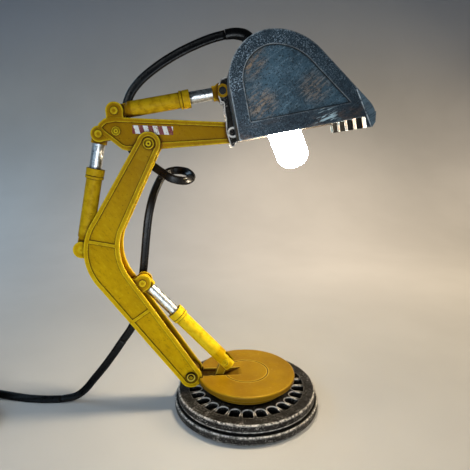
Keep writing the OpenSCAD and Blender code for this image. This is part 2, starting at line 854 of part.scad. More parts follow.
module bucket_cylinder_base_pin() {
    color(paint) headed_pin(top_ear, pin_r, pin_r + pin_lip, stick_w / 2, head_t);
}
module bucket_cylinder_barrel() {
    barrel(top_ear, bucket_ear, bucket_barrel_len, bucket_shift);
}
module bucket_cylinder_gland() {
    gland(top_ear, bucket_ear, bucket_barrel_len, bucket_shift);
}
module bucket_cylinder_rod() {
    rod(top_ear, bucket_ear, bucket_barrel_len);
}
module bucket_cylinder_rod_end() {
    rod_end(top_ear, bucket_ear, bucket_eye_r);
}
module bucket_cylinder_rod_pin() {
    color(gunmetal) headed_pin(bucket_ear, pin_r, pin_r + pin_lip, bracket_half, 0.6);
}

// Stick outline, with its border taken off where an inset is given
module stick_shape(inset) {
    end = bucket_pivot;
    polygon([
        top + [-34.4 + inset, 10.6], top + [-33.4 + inset, 13.4 - inset / 2],
        top + [-29.6 + inset / 2, 16.6 - inset], top + [-24 + inset / 2, 17.6 - inset],
        [end.x, end.y + stick_end_r - blend_bite - inset], [end.x, end.y - stick_end_r + blend_bite + inset],
        top + [10.9, -3.3 + 1.4 * inset], top + [-15, -4.8 + inset],
        top + [-18.4 + inset / 4, -4 + inset], top + [-32.4 + inset, 7.4 + inset / 3]
    ]);
}

module stick() {
    half = stick_w / 2;
    recess = 0.8;
    color(paint)
        difference() {
            union() {
                plate(-half, half) {
                    stick_shape(0);
                    translate(bucket_pivot) circle(stick_end_r);
                }
                plates(ear_in, ear_out) {
                    ear(tail_ear, ear_r - 0.5, 10, 9);
                    ear(top_ear, ear_r, -90, 7);
                }
            }
            plates(half - recess, half + 1)
                difference() {
                    stick_shape(stick_border);
                    translate(bucket_pivot) circle(pivot_r + 1.6);
                }
            plate(-ear_in, ear_in) {
                translate(tail_ear) circle(eye_r + 0.5);
                translate(top_ear) circle(eye_r + 0.4);
            }
            bar(top, pivot_r + run_fit, -half - 1, half + 1);
            bar(bucket_pivot, pivot_r + run_fit, -half - 1, half + 1);
            bar(tail_ear, ear_bore, -half - 1, half + 1);
            bar(top_ear, ear_bore, -half - 1, half + 1);
            bar(tail_rivet_at, 1.62, -half - 1, half + 1);
        }
}

tail_rivet_at = top + [-22.1, 8.4];
module tail_rivet() {
    color(paint) headed_pin(tail_rivet_at, 1.6, 3, stick_w / 2 - 0.8, 0.6, true);
}

// Bucket outline, open downwards past the mouth
module bucket_shape(inset) {
    polygon(concat(
        [back_point(inset, 70)], crown_curve(inset), [[lip_x - inset, heel.y - 20]]
    ));
}

// Everything over the mouth line, raised by an amount
module over_mouth(rise) {
    start = heel + rise * mouth_up - 60 * mouth_dir;
    polygon([
        start, start + 220 * mouth_dir, start + 220 * mouth_dir + 120 * mouth_up, start + 120 * mouth_up
    ]);
}

module under_lip(from_x) {
    translate([from_x, heel.y - 30]) square([60, 120]);
}

// Side view of one tooth and the lip's end over it
module tooth_shape() {
    lip_low = heel + (lip_x - heel.x) * [1, tan(mouth_tilt)];
    polygon([
        lip_low + [-7.4, 2], lip_low + [0, 2], lip_low + [0, 3.2 - tooth_len],
        lip_low + [-1.9, -tooth_len], lip_low + [-5.6, -tooth_len - 0.4]
    ]);
}

module bucket_shell() {
    color(gunmetal)
        difference() {
            plate(-inner_half, inner_half)
                difference() {
                    intersection() {
                        bucket_shape(0);
                        over_mouth(0);
                    }
                    bucket_shape(shell_t);
                    under_lip(lip_start_x);
                }
            plate(-notch_half, notch_half)
                translate([heel.x - 12, heel.y - 5]) square([24, hinge_top + 0.1 - heel.y + 5]);
            on_lamp() translate([0, 0, -crown_r - 6]) cylinder(r = stem_r + 0.1, h = 12);
        }
}

// Side plate with a raised rim round a sunk panel; side is -1 for the near one
module side_plate(side) {
    outer = bucket_w / 2;
    face = outer - panel_depth;
    color(gunmetal)
        difference() {
            plate(side > 0 ? inner_half : -outer, side > 0 ? outer : -inner_half)
                union() {
                    intersection() {
                        bucket_shape(0);
                        over_mouth(0);
                    }
                    tooth_shape();
                }
            plate(side > 0 ? face : -outer - 1, side > 0 ? outer + 1 : -face)
                intersection() {
                    bucket_shape(panel_rim);
                    over_mouth(panel_band);
                }
        }
}

module bucket_near_plate() {
    side_plate(-1);
}

module bucket_far_plate() {
    side_plate(1);
}

module bucket_lip() {
    first = -(tooth_gaps - 1) / 2 * tooth_pitch;
    color(gunmetal)
        difference() {
            plate(-inner_half, inner_half) {
                difference() {
                    intersection() {
                        bucket_shape(0);
                        over_mouth(0);
                        under_lip(lip_start_x);
                    }
                    bucket_shape(lip_t);
                }
                tooth_shape();
            }
            for (i = [0:tooth_gaps - 1])
                translate([lip_x - 30, first + i * tooth_pitch - tooth_gap_w / 2, heel.y - 20])
                    cube([60, tooth_gap_w, 20 + tan(mouth_tilt) * (lip_x - heel.x) - 0.6]);
        }
}

// Side view of one cheek of the hinge: a rib down the bucket's back with a block for the cylinder's pin
module hinge_cheek() {
    block = pin_r + 1;
    difference() {
        polygon([
            bucket_pivot + [-1.2, -9.8], bucket_pivot + [-2.6, -5], bucket_pivot + [-4.4, 1],
            bucket_pivot + [-4.6, 8.9], bucket_pivot + [-5.6, 13.5], bucket_pivot + [-6, 19.3],
            bucket_ear + [-1.4, -pocket_half], bucket_ear + [-block, -block], bucket_ear + [-block, block],
            bucket_ear + [-1.4, pocket_half], [bucket_ear.x + 2, hinge_top], [bucket_ear.x + 20, hinge_top],
            bucket_pivot + [13, 0], bucket_pivot + [9, -3.6], bucket_pivot + [3.6, -5.4],
            bucket_pivot + [0.9, -9.8]
        ]);
        bucket_shape(hinge_depth);
    }
}

// Side view of a wall across the hinge, between two depths and two heights
module hinge_wall(from, to, low, high) {
    intersection() {
        difference() {
            bucket_shape(from);
            bucket_shape(to);
        }
        translate([heel.x - 40, low]) square([60, high - low]);
    }
}

module bucket_bracket() {
    pocket_low = bucket_ear.y - pocket_half;
    color(gunmetal)
        difference() {
            union() {
                plates(fork_half, bracket_half) hinge_cheek();
                plates(ear_in, fork_half + 0.1)
                    intersection() {
                        hinge_cheek();
                        translate([bucket_ear.x - 20, pocket_low]) square([60, hinge_top - pocket_low]);
                    }
                plate(-bracket_half, bracket_half) {
                    hinge_wall(0.05, shell_t, notch_top - 0.2, pocket_low);
                    hinge_wall(0.05, hinge_depth, pocket_low - hinge_wall_t, pocket_low);
                    hinge_wall(hinge_depth - hinge_wall_t, hinge_depth, pocket_low - hinge_wall_t, hinge_top);
                    hinge_wall(0.05, hinge_depth, hinge_top - hinge_wall_t, hinge_top);
                }
            }
            bar(bucket_pivot, pivot_r + 0.02, -20, 20);
            bar(bucket_ear, ear_bore, -20, 20);
            bar(bucket_ear, bucket_eye_r + 0.5, -ear_in, ear_in);
        }
}

module bucket_pivot_pin() {
    color(gunmetal) bar(bucket_pivot, pivot_r, -bracket_half + 0.2, bracket_half - 0.2);
}

// Lamp
module lampholder() {
    rim = holder_r + 1.4;
    color(black)
        on_lamp()
            difference() {
                rotate_extrude()
                    polygon([
                        [0, stem_back], [stem_r, stem_back], [stem_r, -crown_r + 7.5],
                        [holder_r - 3, -crown_r + 8.5], [holder_r, -crown_r + 12], [holder_r, 6],
                        [rim, 6.6], [rim, 9.4], [holder_r, 10], [holder_r, 14], [0, 14]
                    ]);
                translate([0, 0, -9]) cylinder(r = cap_r + 0.3, h = 40);
                translate([0, 0, stem_back - 1]) cylinder(r = 2.2, h = 60);
            }
}

module bulb_cap() {
    color(chrome)
        on_lamp()
            rotate_extrude()
                polygon([
                    [0, -8.9], [3, -8.9], [3.4, -7.4], [cap_r - 0.6, -6], [cap_r, -5],
                    [cap_r, 13], [0, 13]
                ]);
}

module bulb_glass() {
    r = bulb_d / 2;
    dome = 9;
    start = 13.05;
    color("#fff3d6")
        on_lamp()
            rotate_extrude()
                polygon(concat(
                    [[0, start], [cap_r - 0.2, start], [cap_r + 0.2, 15], [r - 1.2, 18.5], [r, 21.5]],
                    [for (a = [0:15:90]) [r - dome + dome * cos(a), bulb_tip - dome + dome * sin(a)]],
                    [[0, bulb_tip]]
                ));
}

module cord_gland() {
    color(black)
        on_lamp()
            translate([0, 0, stem_back])
                difference() {
                    translate([0, 0, -0.6]) cylinder(r = stem_r + 2, h = 1.4);
                    cylinder(r = stem_r + 0.02, h = 4);
                }
}

// Moulded strain relief that tapers along the start of the cord
module cord_boot() {
    color(black) swept(boot_route, [0, 1, 0], [0, 1, 0], 9, 8, cord_w + 0.8, cord_t + 0.8);
}

module cord_arch() {
    cord(arch_route, [0, 1, 0], [0, 1, 0]);
}

module cord_loop() {
    cord(loop_route, [0, 1, 0], [0, 1, 0]);
}

module cord_drop() {
    cord(drop_route, [0, 1, 0], [0, 1, 0]);
}

module cord_lead() {
    cord(lead_route, [0, 1, 0], [0, 0.3, 1]);
}

module cord_floor() {
    cord(floor_route, [0, 0.3, 1], [0, 1, 0]);
}

// Coil that winds in on the lower layer and out on the upper one
function coil_end(layer) = [coil_centre.x, coil_centre.y + coil_r, coil_base + layer * coil_rise];
function coil_at(u) = let (
        half = coil_turns / 2,
        climb = min(max((u - half + 0.25) * 2, 0), 1),
        dip = coil_dip * (1 - cos(360 * climb)) / 2,
        r = coil_r - coil_step * (half - abs(u - half)) - dip,
        z = coil_base + coil_rise * (3 * climb ^ 2 - 2 * climb ^ 3),
        at = coil_centre + r * turn(90 + 360 * u)
    ) [at.x, at.y, z];
coil_points = [for (i = [0:coil_turns * coil_rings]) coil_at(i / coil_rings)];
least_gap = min([for (i = [0:len(coil_points) - 1], j = [i + coil_rings * 3 / 4:len(coil_points) - 1])
    let (d = coil_points[i] - coil_points[j])
        max(norm([d.x, d.y]) - cord_t, abs(d.z) - cord_w)]);
module cord_coil() {
    echo(coil_least_gap = least_gap);
    sides = 6;
    last = len(coil_points) - 1;
    rings = [for (i = [0:last]) let (
            p = coil_points[i],
            out = unit([p.x - coil_centre.x, p.y - coil_centre.y, 0])
        ) for (s = section(cord_w, cord_t, sides)) p + s.y * out + [0, 0, s.x]];
    walls = [for (i = [0:last - 1], j = [0:sides - 1])
        let (a = i * sides + j, b = i * sides + (j + 1) % sides)
        for (f = [[a, a + sides, b], [b, a + sides, b + sides]]) f];
    caps = [for (j = [1:sides - 2]) for (f = [[0, j, j + 1],
        [last * sides, last * sides + j + 1, last * sides + j]]) f];
    color(black) polyhedron(rings, concat(walls, caps));
}

module cord_tie() {
    half = coil_turns / 2;
    inner = coil_r - coil_step * half - cord_t / 2 - 0.2;
    outer = coil_r + cord_t / 2 + 0.4;
    low = coil_base - cord_w / 2 - 0.2;
    high = coil_base + coil_rise + cord_w / 2 + 0.2;
    color("#2b2b2d")
        translate([coil_centre.x, coil_centre.y, 0])
            rotate([0, 0, tie_angle])
                difference() {
                    translate([inner - tie_t, -tie_w / 2, low - tie_t])
                        cube([outer - inner + 2 * tie_t, tie_w, high - low + 2 * tie_t]);
                    translate([inner, -tie_w, low]) cube([outer - inner, 2 * tie_w, high - low]);
                }
}

module cord_tail() {
    cord(tail_route, [0, 1, 0], [0, 0, 1]);
}

// Cord switch, lying along Y between two stretches of cord
switch_at = [tail_route[6].x, tail_route[6].y - switch_len / 2];
switch_split = tail_route[6].z;
rocker_len = 19;
rocker_w = 10;
module switch_outline(inset) {
    end = 9;
    w = switch_w / 2 - inset;
    long = switch_len / 2 - inset;
    polygon([
        [-w, -long + end], [-w + 6, -long], [w - 6, -long], [w, -long + end],
        [w, long - end], [w - 6, long], [-w + 6, long], [-w, long - end]
    ]);
}

module switch_base() {
    color(black)
        translate([switch_at.x, switch_at.y, 0]) {
            linear_extrude(switch_split - 0.02) switch_outline(0);
        }
}

module switch_cover() {
    color(black)
        translate([switch_at.x, switch_at.y, 0])
            difference() {
                union() {
                    translate([0, 0, switch_split]) linear_extrude(switch_h - switch_split - 2) switch_outline(0);
                    translate([0, 0, switch_h - 2.1]) linear_extrude(2.1) switch_outline(1.6);
                }
                translate([0, 0, switch_split + 1.5 + switch_h / 2])
                    cube([rocker_w + 2 * gap, rocker_len + 2 * gap, switch_h], center = true);
                rocker_axle(rocker_stub + run_fit, rocker_w + 3.4);
            }
}

rocker_axis = switch_split + 4.2;
rocker_stub = 1.2;
module rocker_axle(r, length) {
    translate([0, 0, rocker_axis]) rotate([0, 90, 0]) cylinder(r = r, h = length, center = true);
}

module switch_rocker() {
    tip = 2.2;
    half = rocker_len / 2;
    color("#232427")
        translate([switch_at.x, switch_at.y, 0]) {
            translate([rocker_w / 2, 0, 0])
                rotate([90, 0, -90])
                    linear_extrude(rocker_w)
                        polygon([
                            [-half + 0.8, rocker_axis - 0.8], [half - 0.8, rocker_axis - 0.8],
                            [half - 1.3, switch_h + tip], [0, switch_h + 0.5],
                            [-half + 0.6, switch_h + tip - 2.4]
                        ]);
            rocker_axle(rocker_stub, rocker_w + 3);
        }
}

module cord_end() {
    cord(end_route, [0, 0, 1], [0, 1, 0]);
}

// Flat two-pin plug, lying with its pins along X
plug_at = end_route[5];
plug_h = 13.6;
pin_gap = 19;
module plug_body() {
    grip = 22;
    boot = plug_len - 22;
    wide = 35;
    color(black)
        translate([plug_at.x, plug_at.y, 0])
            union() {
                translate([0, 0, plug_at.z])
                    rotate([0, 90, 0])
                        cylinder(r1 = cord_w / 2 + 0.8, r2 = plug_h / 2 - 0.5, h = boot + 0.1);
                linear_extrude(plug_h)
                    polygon([
                        [boot, -7], [boot + 8, -wide / 2], [boot + grip - 1, -wide / 2],
                        [boot + grip, -wide / 2 + 1], [boot + grip, wide / 2 - 1],
                        [boot + grip - 1, wide / 2], [boot + 8, wide / 2], [boot, 7]
                    ]);
            }
}

module plug_pins() {
    color(chrome)
        translate([plug_at.x + plug_len, plug_at.y, plug_at.z])
            for (side = [-1, 1])
                translate([0, side * pin_gap / 2, 0])
                    rotate([0, 90, 0]) {
                        cylinder(d = 4, h = 18, $fn = 24);
                        translate([0, 0, 18]) cylinder(d1 = 4, d2 = 2.6, h = 1, $fn = 24);
                    }
}

base_casting();
base_weight();
base_pad();
thrust_washer();
turntable();
boom_bracket();
bracket_screws();
slew_retainer();
slew_bolt();
boom();
boom_foot_pin();
stick_pivot_pin();
boom_cord_clip();
boom_cylinder_base_pin();
boom_cylinder_barrel();
boom_cylinder_gland();
boom_cylinder_rod();
boom_cylinder_rod_end();
boom_cylinder_rod_pin();
stick();
tail_rivet();
stick_cord_clip();
stick_cylinder_base_pin();
stick_cylinder_barrel();
stick_cylinder_gland();
stick_cylinder_rod();
stick_cylinder_rod_end();
stick_cylinder_rod_pin();
bucket_cylinder_base_pin();
bucket_cylinder_barrel();
bucket_cylinder_gland();
bucket_cylinder_rod();
bucket_cylinder_rod_end();
bucket_cylinder_rod_pin();
bucket_shell();
bucket_near_plate();
bucket_far_plate();
bucket_lip();
bucket_bracket();
bucket_pivot_pin();
lampholder();
bulb_cap();
bulb_glass();
cord_gland();
cord_boot();
cord_arch();
cord_loop();
cord_drop();
cord_lead();
cord_floor();
cord_coil();
cord_tie();
cord_tail();
switch_base();
switch_cover();
switch_rocker();
cord_end();
plug_body();
plug_pins();
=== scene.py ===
"""Desk lamp shaped as an excavator arm: materials, cords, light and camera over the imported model."""
import json
import math

import bmesh
import bpy
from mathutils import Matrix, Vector


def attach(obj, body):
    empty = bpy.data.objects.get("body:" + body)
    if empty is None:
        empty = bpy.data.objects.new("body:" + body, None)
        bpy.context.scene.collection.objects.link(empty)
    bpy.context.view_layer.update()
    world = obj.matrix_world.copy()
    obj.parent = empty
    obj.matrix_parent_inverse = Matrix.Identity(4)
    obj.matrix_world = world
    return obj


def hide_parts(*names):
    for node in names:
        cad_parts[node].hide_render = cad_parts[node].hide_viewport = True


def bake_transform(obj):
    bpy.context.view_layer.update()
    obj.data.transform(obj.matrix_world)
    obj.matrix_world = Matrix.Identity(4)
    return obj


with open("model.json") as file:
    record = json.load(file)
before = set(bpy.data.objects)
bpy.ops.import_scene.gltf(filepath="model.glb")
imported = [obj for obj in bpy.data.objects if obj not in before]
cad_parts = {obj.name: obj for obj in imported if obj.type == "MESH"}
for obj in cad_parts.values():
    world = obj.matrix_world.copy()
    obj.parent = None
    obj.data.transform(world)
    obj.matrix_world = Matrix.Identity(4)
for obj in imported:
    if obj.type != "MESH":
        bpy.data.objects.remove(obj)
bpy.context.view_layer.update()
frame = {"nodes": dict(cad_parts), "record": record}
nodes = frame["nodes"]
scene = bpy.context.scene


# Lines and meshes

MM = 0.001
STEPS_PER_MM = 0.6
LEAST_STEPS = 3


def mm(*values):
    """A point given in millimetres, in metres."""
    return Vector(values) * MM


def between(a, b, c, d, t):
    """The point at a share t from b to c, on the smooth curve that comes from a and goes on to d."""
    straight = 2 * b + (c - a) * t
    return 0.5 * (straight + (2 * a - 5 * b + 4 * c - d) * t * t + (3 * b - a - 3 * c + d) * t**3)


def smooth(points, per_mm=STEPS_PER_MM):
    """A smooth line through points in millimetres, sampled by length, as points in metres."""
    pts = [Vector(p) for p in points]
    pts = [pts[0] * 2 - pts[1]] + pts + [pts[-1] * 2 - pts[-2]]
    line = []
    for a, b, c, d in zip(pts, pts[1:], pts[2:], pts[3:]):
        steps = max(LEAST_STEPS, int((c - b).length * per_mm))
        line += [between(a, b, c, d, i / steps) for i in range(steps)]
    line.append(pts[-2])
    return [p * MM for p in line]


def normals_at(line, i, facing):
    """A line's two normals at its point i: the one nearest to a facing, and the one across it."""
    along = (line[min(i + 1, len(line) - 1)] - line[max(i - 1, 0)]).normalized()
    flat = (facing - along * facing.dot(along)).normalized()
    return flat, along.cross(flat)


def normals_along(line, facing_0, facing_1):
    """The two normals at each point of a line, turning from one facing to another."""
    last = len(line) - 1
    facings = [Vector(facing_0).lerp(Vector(facing_1), i / last) for i in range(last + 1)]
    return [normals_at(line, i, facing) for i, facing in enumerate(facings)]


def add_object(name, mesh, rounded=True):
    """An object in the scene from a mesh being built, shaded smooth if rounded."""
    data = bpy.data.meshes.new(name)
    mesh.to_mesh(data)
    mesh.free()
    if rounded:
        data.polygons.foreach_set("use_smooth", [True] * len(data.polygons))
    obj = bpy.data.objects.new(name, data)
    scene.collection.objects.link(obj)
    return obj


def tube(name, line, normals, section_at):
    """A closed tube. section_at gives the section's points, as (across, over), at a share of the length."""
    mesh = bmesh.new()
    last = len(line) - 1
    rings = []
    for i, (p, (flat, across)) in enumerate(zip(line, normals)):
        rings.append([mesh.verts.new(p + across * x + flat * y) for x, y in section_at(i / last)])
    n = len(rings[0])
    for a, b in zip(rings, rings[1:]):
        for j in range(n):
            mesh.faces.new((a[j], a[(j + 1) % n], b[(j + 1) % n], b[j]))
    mesh.faces.new(rings[0][::-1])
    mesh.faces.new(rings[-1])
    bmesh.ops.recalc_face_normals(mesh, faces=mesh.faces)
    return add_object(name, mesh)


# Places of painted marks on the bucket, in metres: bronze patches as X, Z, radius and strength
BRONZE_PATCHES = [
    (-0.0030, 0.2490, 0.015, 1.0),
    (0.0045, 0.2235, 0.014, 0.9),
    (0.0375, 0.2335, 0.013, 0.6),
]

# A bright scrape and the bracket's painted eye, as X, Z and radius
SCRAPE = (0.0462, 0.2150, 0.0105)
HINGE_EYE = (-0.0178, 0.23535, 0.0046)

# Distances from the middle at which the sunk panels, the inner faces and the teeth begin and end
PANEL_FROM = (0.0362, 0.0366)
PANEL_TO = (0.0385, 0.0388)
INNER_FROM = (0.0352, 0.0356)
INNER_TO = (0.0361, 0.0363)
TEETH_WITHIN = (0.0340, 0.0345)

# The mouth's edge, a slope and a height, and the bands over it in which rust fades and grain sets in
MOUTH_SLOPE = 0.195
MOUTH_HEIGHT = 0.2017
MOUTH_RUST = (MOUTH_HEIGHT + 0.002, MOUTH_HEIGHT + 0.013)
MOUTH_GRAIN = (MOUTH_HEIGHT + 0.008, MOUTH_HEIGHT + 0.018)

# The front seam, a slope and a place, the plain strip in front of it and the bead along it
SEAM_SLOPE = -0.4726
SEAM_AT = 0.1739
SEAM_STRIP = (SEAM_AT, SEAM_AT + 0.0012)
SEAM_BEAD = (0.0002, 0.0006)

# Stretches of X over which the bucket's silver grain and its rubbed edges get weaker; the edges' fade is
# painted highlight, brighter on the left
GRAIN_FADE = (-0.005, 0.050)
RUB_FADE = (-0.010, 0.030)

# Rims on the base that are rubbed bright, as radius, height and width, and where its pockets' lines fade
RIMS = [(0.0530, 0.0142, 0.0008), (0.0555, 0.0067, 0.0007), (0.0535, 0.0090, 0.0006)]
POCKET_FADE = (0.0415, 0.0438)
TIER_EDGE = (0.0500, 0.0515)

# The boom's foot pin, as X and Z, and the rings on it, as radius, width and colour
FOOT_PIN = (-0.0430, 0.02595)
PIN_RINGS = [
    (0.0037, 0.0012, (0.020, 0.010, 0.003)),
    (0.0027, 0.0009, (0.80, 0.62, 0.10)),
    (0.0016, 0.0012, (0.030, 0.014, 0.004)),
]

# Heights between which the arm darkens and browns towards the top and the turntable's side darkens, both
# painted shade
ARM_SHADED_HEIGHTS = (0.12, 0.215)
DISC_SHADED_SIDE = (0.0243, 0.0254)

# The stick's stripes: how far they slant and how many there are in a metre
STRIPE_SLANT = 0.28
STRIPES_PER_M = 155.0

# Heights between which the backdrop darkens and turns bluer, as painted shade
SHEET_SHADE_HEIGHTS = (0.30, 0.66)


# Materials, with colours as linear red, green and blue

# The part of a noise's range that holds most of its values
MID = (0.3, 0.7)

# The colour sockets of a mix node, which share their names with its other sockets
MIX_SHARE = 0
MIX_A = 6
MIX_B = 7
MIX_RESULT = 2

RECESS_SAMPLES = 8
BEVEL_SAMPLES = 4

# How far a face may turn away from sideways, as its normal's Y, and the full part of a ring's width
SIDEWAYS = (0.6, 0.8)
RING_CORE = 0.45


def darker(colour, share):
    return tuple(c * share for c in colour)


class Shade:
    """A procedural material being built, with short names for the nodes that it uses."""

    def __init__(self, name):
        self.material = bpy.data.materials.new(name)
        self.material.use_nodes = True
        self.tree = self.material.node_tree
        self.shader = self.tree.nodes["Principled BSDF"]
        self.place = self.tree.nodes.new("ShaderNodeTexCoord").outputs["Object"]

    def link(self, socket, value):
        if isinstance(value, bpy.types.NodeSocket):
            self.tree.links.new(value, socket)
        else:
            socket.default_value = value

    def set(self, name, value):
        self.link(self.shader.inputs[name], value)

    def noise(self, scale, detail=3.0, rough=0.55, shift=(0, 0, 0), long=1.0, lean=0.0):
        """Noise, drawn out long times along a line in the side view that leans from upright, in degrees."""
        node = self.tree.nodes.new("ShaderNodeTexNoise")
        node.inputs["Scale"].default_value = scale
        node.inputs["Detail"].default_value = detail
        node.inputs["Roughness"].default_value = rough
        place = self.tree.nodes.new("ShaderNodeMapping")
        place.vector_type = "TEXTURE"
        place.inputs["Location"].default_value = shift
        place.inputs["Rotation"].default_value = (0, math.radians(lean), 0)
        place.inputs["Scale"].default_value = (1, 1, long)
        self.tree.links.new(self.place, place.inputs["Vector"])
        self.tree.links.new(place.outputs["Vector"], node.inputs["Vector"])
        return node.outputs["Fac"]

    def turning_marks(self, scale, detail):
        """Noise in fine rings round the lamp's upright axis."""
        node = self.tree.nodes.new("ShaderNodeTexNoise")
        node.noise_dimensions = "1D"
        node.inputs["Scale"].default_value = scale
        node.inputs["Detail"].default_value = detail
        self.link(node.inputs["W"], self.radius())
        return node.outputs["Fac"]

    def span(self, value, low, high, to_low=0.0, to_high=1.0):
        """value taken from low..high to to_low..to_high, smoothly and held at the ends."""
        node = self.tree.nodes.new("ShaderNodeMapRange")
        node.interpolation_type = "SMOOTHSTEP"
        self.link(node.inputs["Value"], value)
        node.inputs["From Min"].default_value = low
        node.inputs["From Max"].default_value = high
        node.inputs["To Min"].default_value = to_low
        node.inputs["To Max"].default_value = to_high
        return node.outputs["Result"]

    def falling(self, value, low, high):
        """1 where value is below low, falling to 0 at high."""
        return self.span(value, low, high, 1.0, 0.0)

    def within(self, value, rise, fall):
        """1 where value is between a rise and a fall, each given as where it starts and ends."""
        return self.times(self.span(value, *rise), self.falling(value, *fall))

    def calc(self, operation, a, b=0.0):
        node = self.tree.nodes.new("ShaderNodeMath")
        node.operation = operation
        self.link(node.inputs[0], a)
        self.link(node.inputs[1], b)
        return node.outputs[0]

    def times(self, a, b):
        return self.calc("MULTIPLY", a, b)

    def minus(self, a, b):
        return self.calc("SUBTRACT", a, b)

    def most(self, a, b):
        return self.calc("MAXIMUM", a, b)

    def size(self, value):
        return self.calc("ABSOLUTE", value)

    def length(self, a, b):
        """The length of a step of a one way and b across it."""
        return self.calc("SQRT", self.calc("ADD", self.times(a, a), self.times(b, b)))

    def mix(self, share, a, b):
        node = self.tree.nodes.new("ShaderNodeMix")
        node.data_type = "RGBA"
        self.link(node.inputs[MIX_SHARE], share)
        self.link(node.inputs[MIX_A], a if isinstance(a, bpy.types.NodeSocket) else (*a, 1))
        self.link(node.inputs[MIX_B], b if isinstance(b, bpy.types.NodeSocket) else (*b, 1))
        return node.outputs[MIX_RESULT]

    def along(self, axis):
        """The place's X, Y or Z, in metres."""
        node = self.tree.nodes.new("ShaderNodeSeparateXYZ")
        self.tree.links.new(self.place, node.inputs[0])
        return node.outputs[axis]

    def sideways(self):
        """1 on faces that look out sideways, along Y, and 0 on the rest."""
        node = self.tree.nodes.new("ShaderNodeSeparateXYZ")
        self.tree.links.new(self.place.node.outputs["Normal"], node.inputs[0])
        return self.span(self.size(node.outputs["Y"]), *SIDEWAYS)

    def radius(self):
        """The distance from the lamp's upright axis."""
        return self.length(self.along("X"), self.along("Y"))

    def ring(self, radius, height, width):
        """1 on a ring round the lamp's axis, falling to 0 at a width. All in metres."""
        out = self.minus(self.radius(), radius)
        up = self.minus(self.along("Z"), height)
        return self.falling(self.length(out, up), RING_CORE * width, width)

    def from_spot(self, x, z):
        """The distance from a spot, as seen from the side."""
        return self.length(self.minus(self.along("X"), x), self.minus(self.along("Z"), z))

    def near(self, x, z, radius, core=0.2):
        """1 at a spot seen from the side, falling from a core, a share of the radius, to 0 at the radius."""
        return self.falling(self.from_spot(x, z), core * radius, radius)

    def hoop(self, x, z, radius, width):
        """1 on a ring round a spot seen from the side, falling to 0 at half a width. All in metres."""
        off = self.size(self.minus(self.from_spot(x, z), radius))
        return self.falling(off, width / 4, width / 2)

    def open_sky(self, distance, inside=False, local=False):
        """1 in the open, less in recesses; with inside, less along outer edges."""
        node = self.tree.nodes.new("ShaderNodeAmbientOcclusion")
        node.samples = RECESS_SAMPLES
        node.inside = inside
        node.only_local = local
        node.inputs["Distance"].default_value = distance
        return node.outputs["AO"]

    def edges(self, distance, low, high):
        """1 along outer edges, falling to 0 within a distance."""
        return self.falling(self.open_sky(distance, inside=True, local=True), 1 - high, 1 - low)

    def corners(self, distance, low=0.62, high=0.96):
        """1 along inner corners and in narrow gaps, falling to 0 within a distance."""
        return self.falling(self.open_sky(distance), low, high)

    def roughness(self, scale, detail, low, high):
        """Roughness that wanders between low and high."""
        self.set("Roughness", self.span(self.noise(scale, detail), *MID, low, high))

    def bump(self, height, strength, distance, edge=None):
        """Fine relief, with edges softened to a radius if one is given."""
        node = self.tree.nodes.new("ShaderNodeBump")
        node.inputs["Strength"].default_value = strength
        node.inputs["Distance"].default_value = distance
        self.link(node.inputs["Height"], height)
        if edge:
            soft = self.tree.nodes.new("ShaderNodeBevel")
            soft.samples = BEVEL_SAMPLES
            soft.inputs["Radius"].default_value = edge
            self.tree.links.new(soft.outputs["Normal"], node.inputs["Normal"])
        self.tree.links.new(node.outputs["Normal"], self.shader.inputs["Normal"])


def arm_paint(name, dark, light, wash_and_shade, edge):
    """Hand-painted enamel: painted shade in dark brown in the recesses, the inner corners and towards the
    top, brighter rubbed edges, brush-marked surface.
    """
    brown = (0.22, 0.076, 0.002)
    s = Shade(name)
    body = s.mix(s.span(s.noise(32, 4), *MID), dark, light)
    cloud = s.span(s.noise(95, 5, rough=0.65), 0.42, 0.72, 0, 0.45)
    body = s.mix(cloud, body, dark)
    strokes = s.noise(420, 5, rough=0.75, long=2.5, lean=-38)
    body = s.mix(s.span(strokes, 0.52, 0.70, 0, 0.25), body, edge)
    body = s.mix(s.span(strokes, 0.30, 0.47, 0.35, 0), body, wash_and_shade)
    # Painted shade: darker and browner towards the top, where less light falls
    body = s.mix(s.span(s.along("Z"), *ARM_SHADED_HEIGHTS, 0.0, 0.58), body, brown)
    # Painted shade in the recesses
    shade = s.span(s.open_sky(0.012), 0.35, 0.95, 0.40, 0.0)
    body = s.mix(shade, body, wash_and_shade)
    rub = s.times(s.edges(0.0018, low=0.08, high=0.38), s.span(s.noise(240, 3), 0.3, 0.6, 0.4, 1.0))
    body = s.mix(s.times(rub, 0.75), body, edge)
    # Painted shade along inner corners and in narrow gaps, patchy
    patchy = s.span(s.noise(130, 4), 0.25, 0.6, 0.55, 1.0)
    corner_shade = s.times(s.corners(0.0030, low=0.60, high=0.97), patchy)
    body = s.mix(s.times(corner_shade, 0.92), body, wash_and_shade)
    specks = s.span(s.noise(560, 2), 0.66, 0.74, 0, 0.55)
    body = s.mix(specks, body, wash_and_shade)
    for radius, width, colour in PIN_RINGS:
        body = s.mix(s.hoop(*FOOT_PIN, radius, width), body, colour)
    s.set("Base Color", body)
    s.roughness(210, 4, low=0.34, high=0.52)
    s.set("Specular IOR Level", 0.04)
    s.bump(s.noise(420, 4, rough=0.6), strength=0.18, distance=0.0004, edge=0.0006)
    return s.material


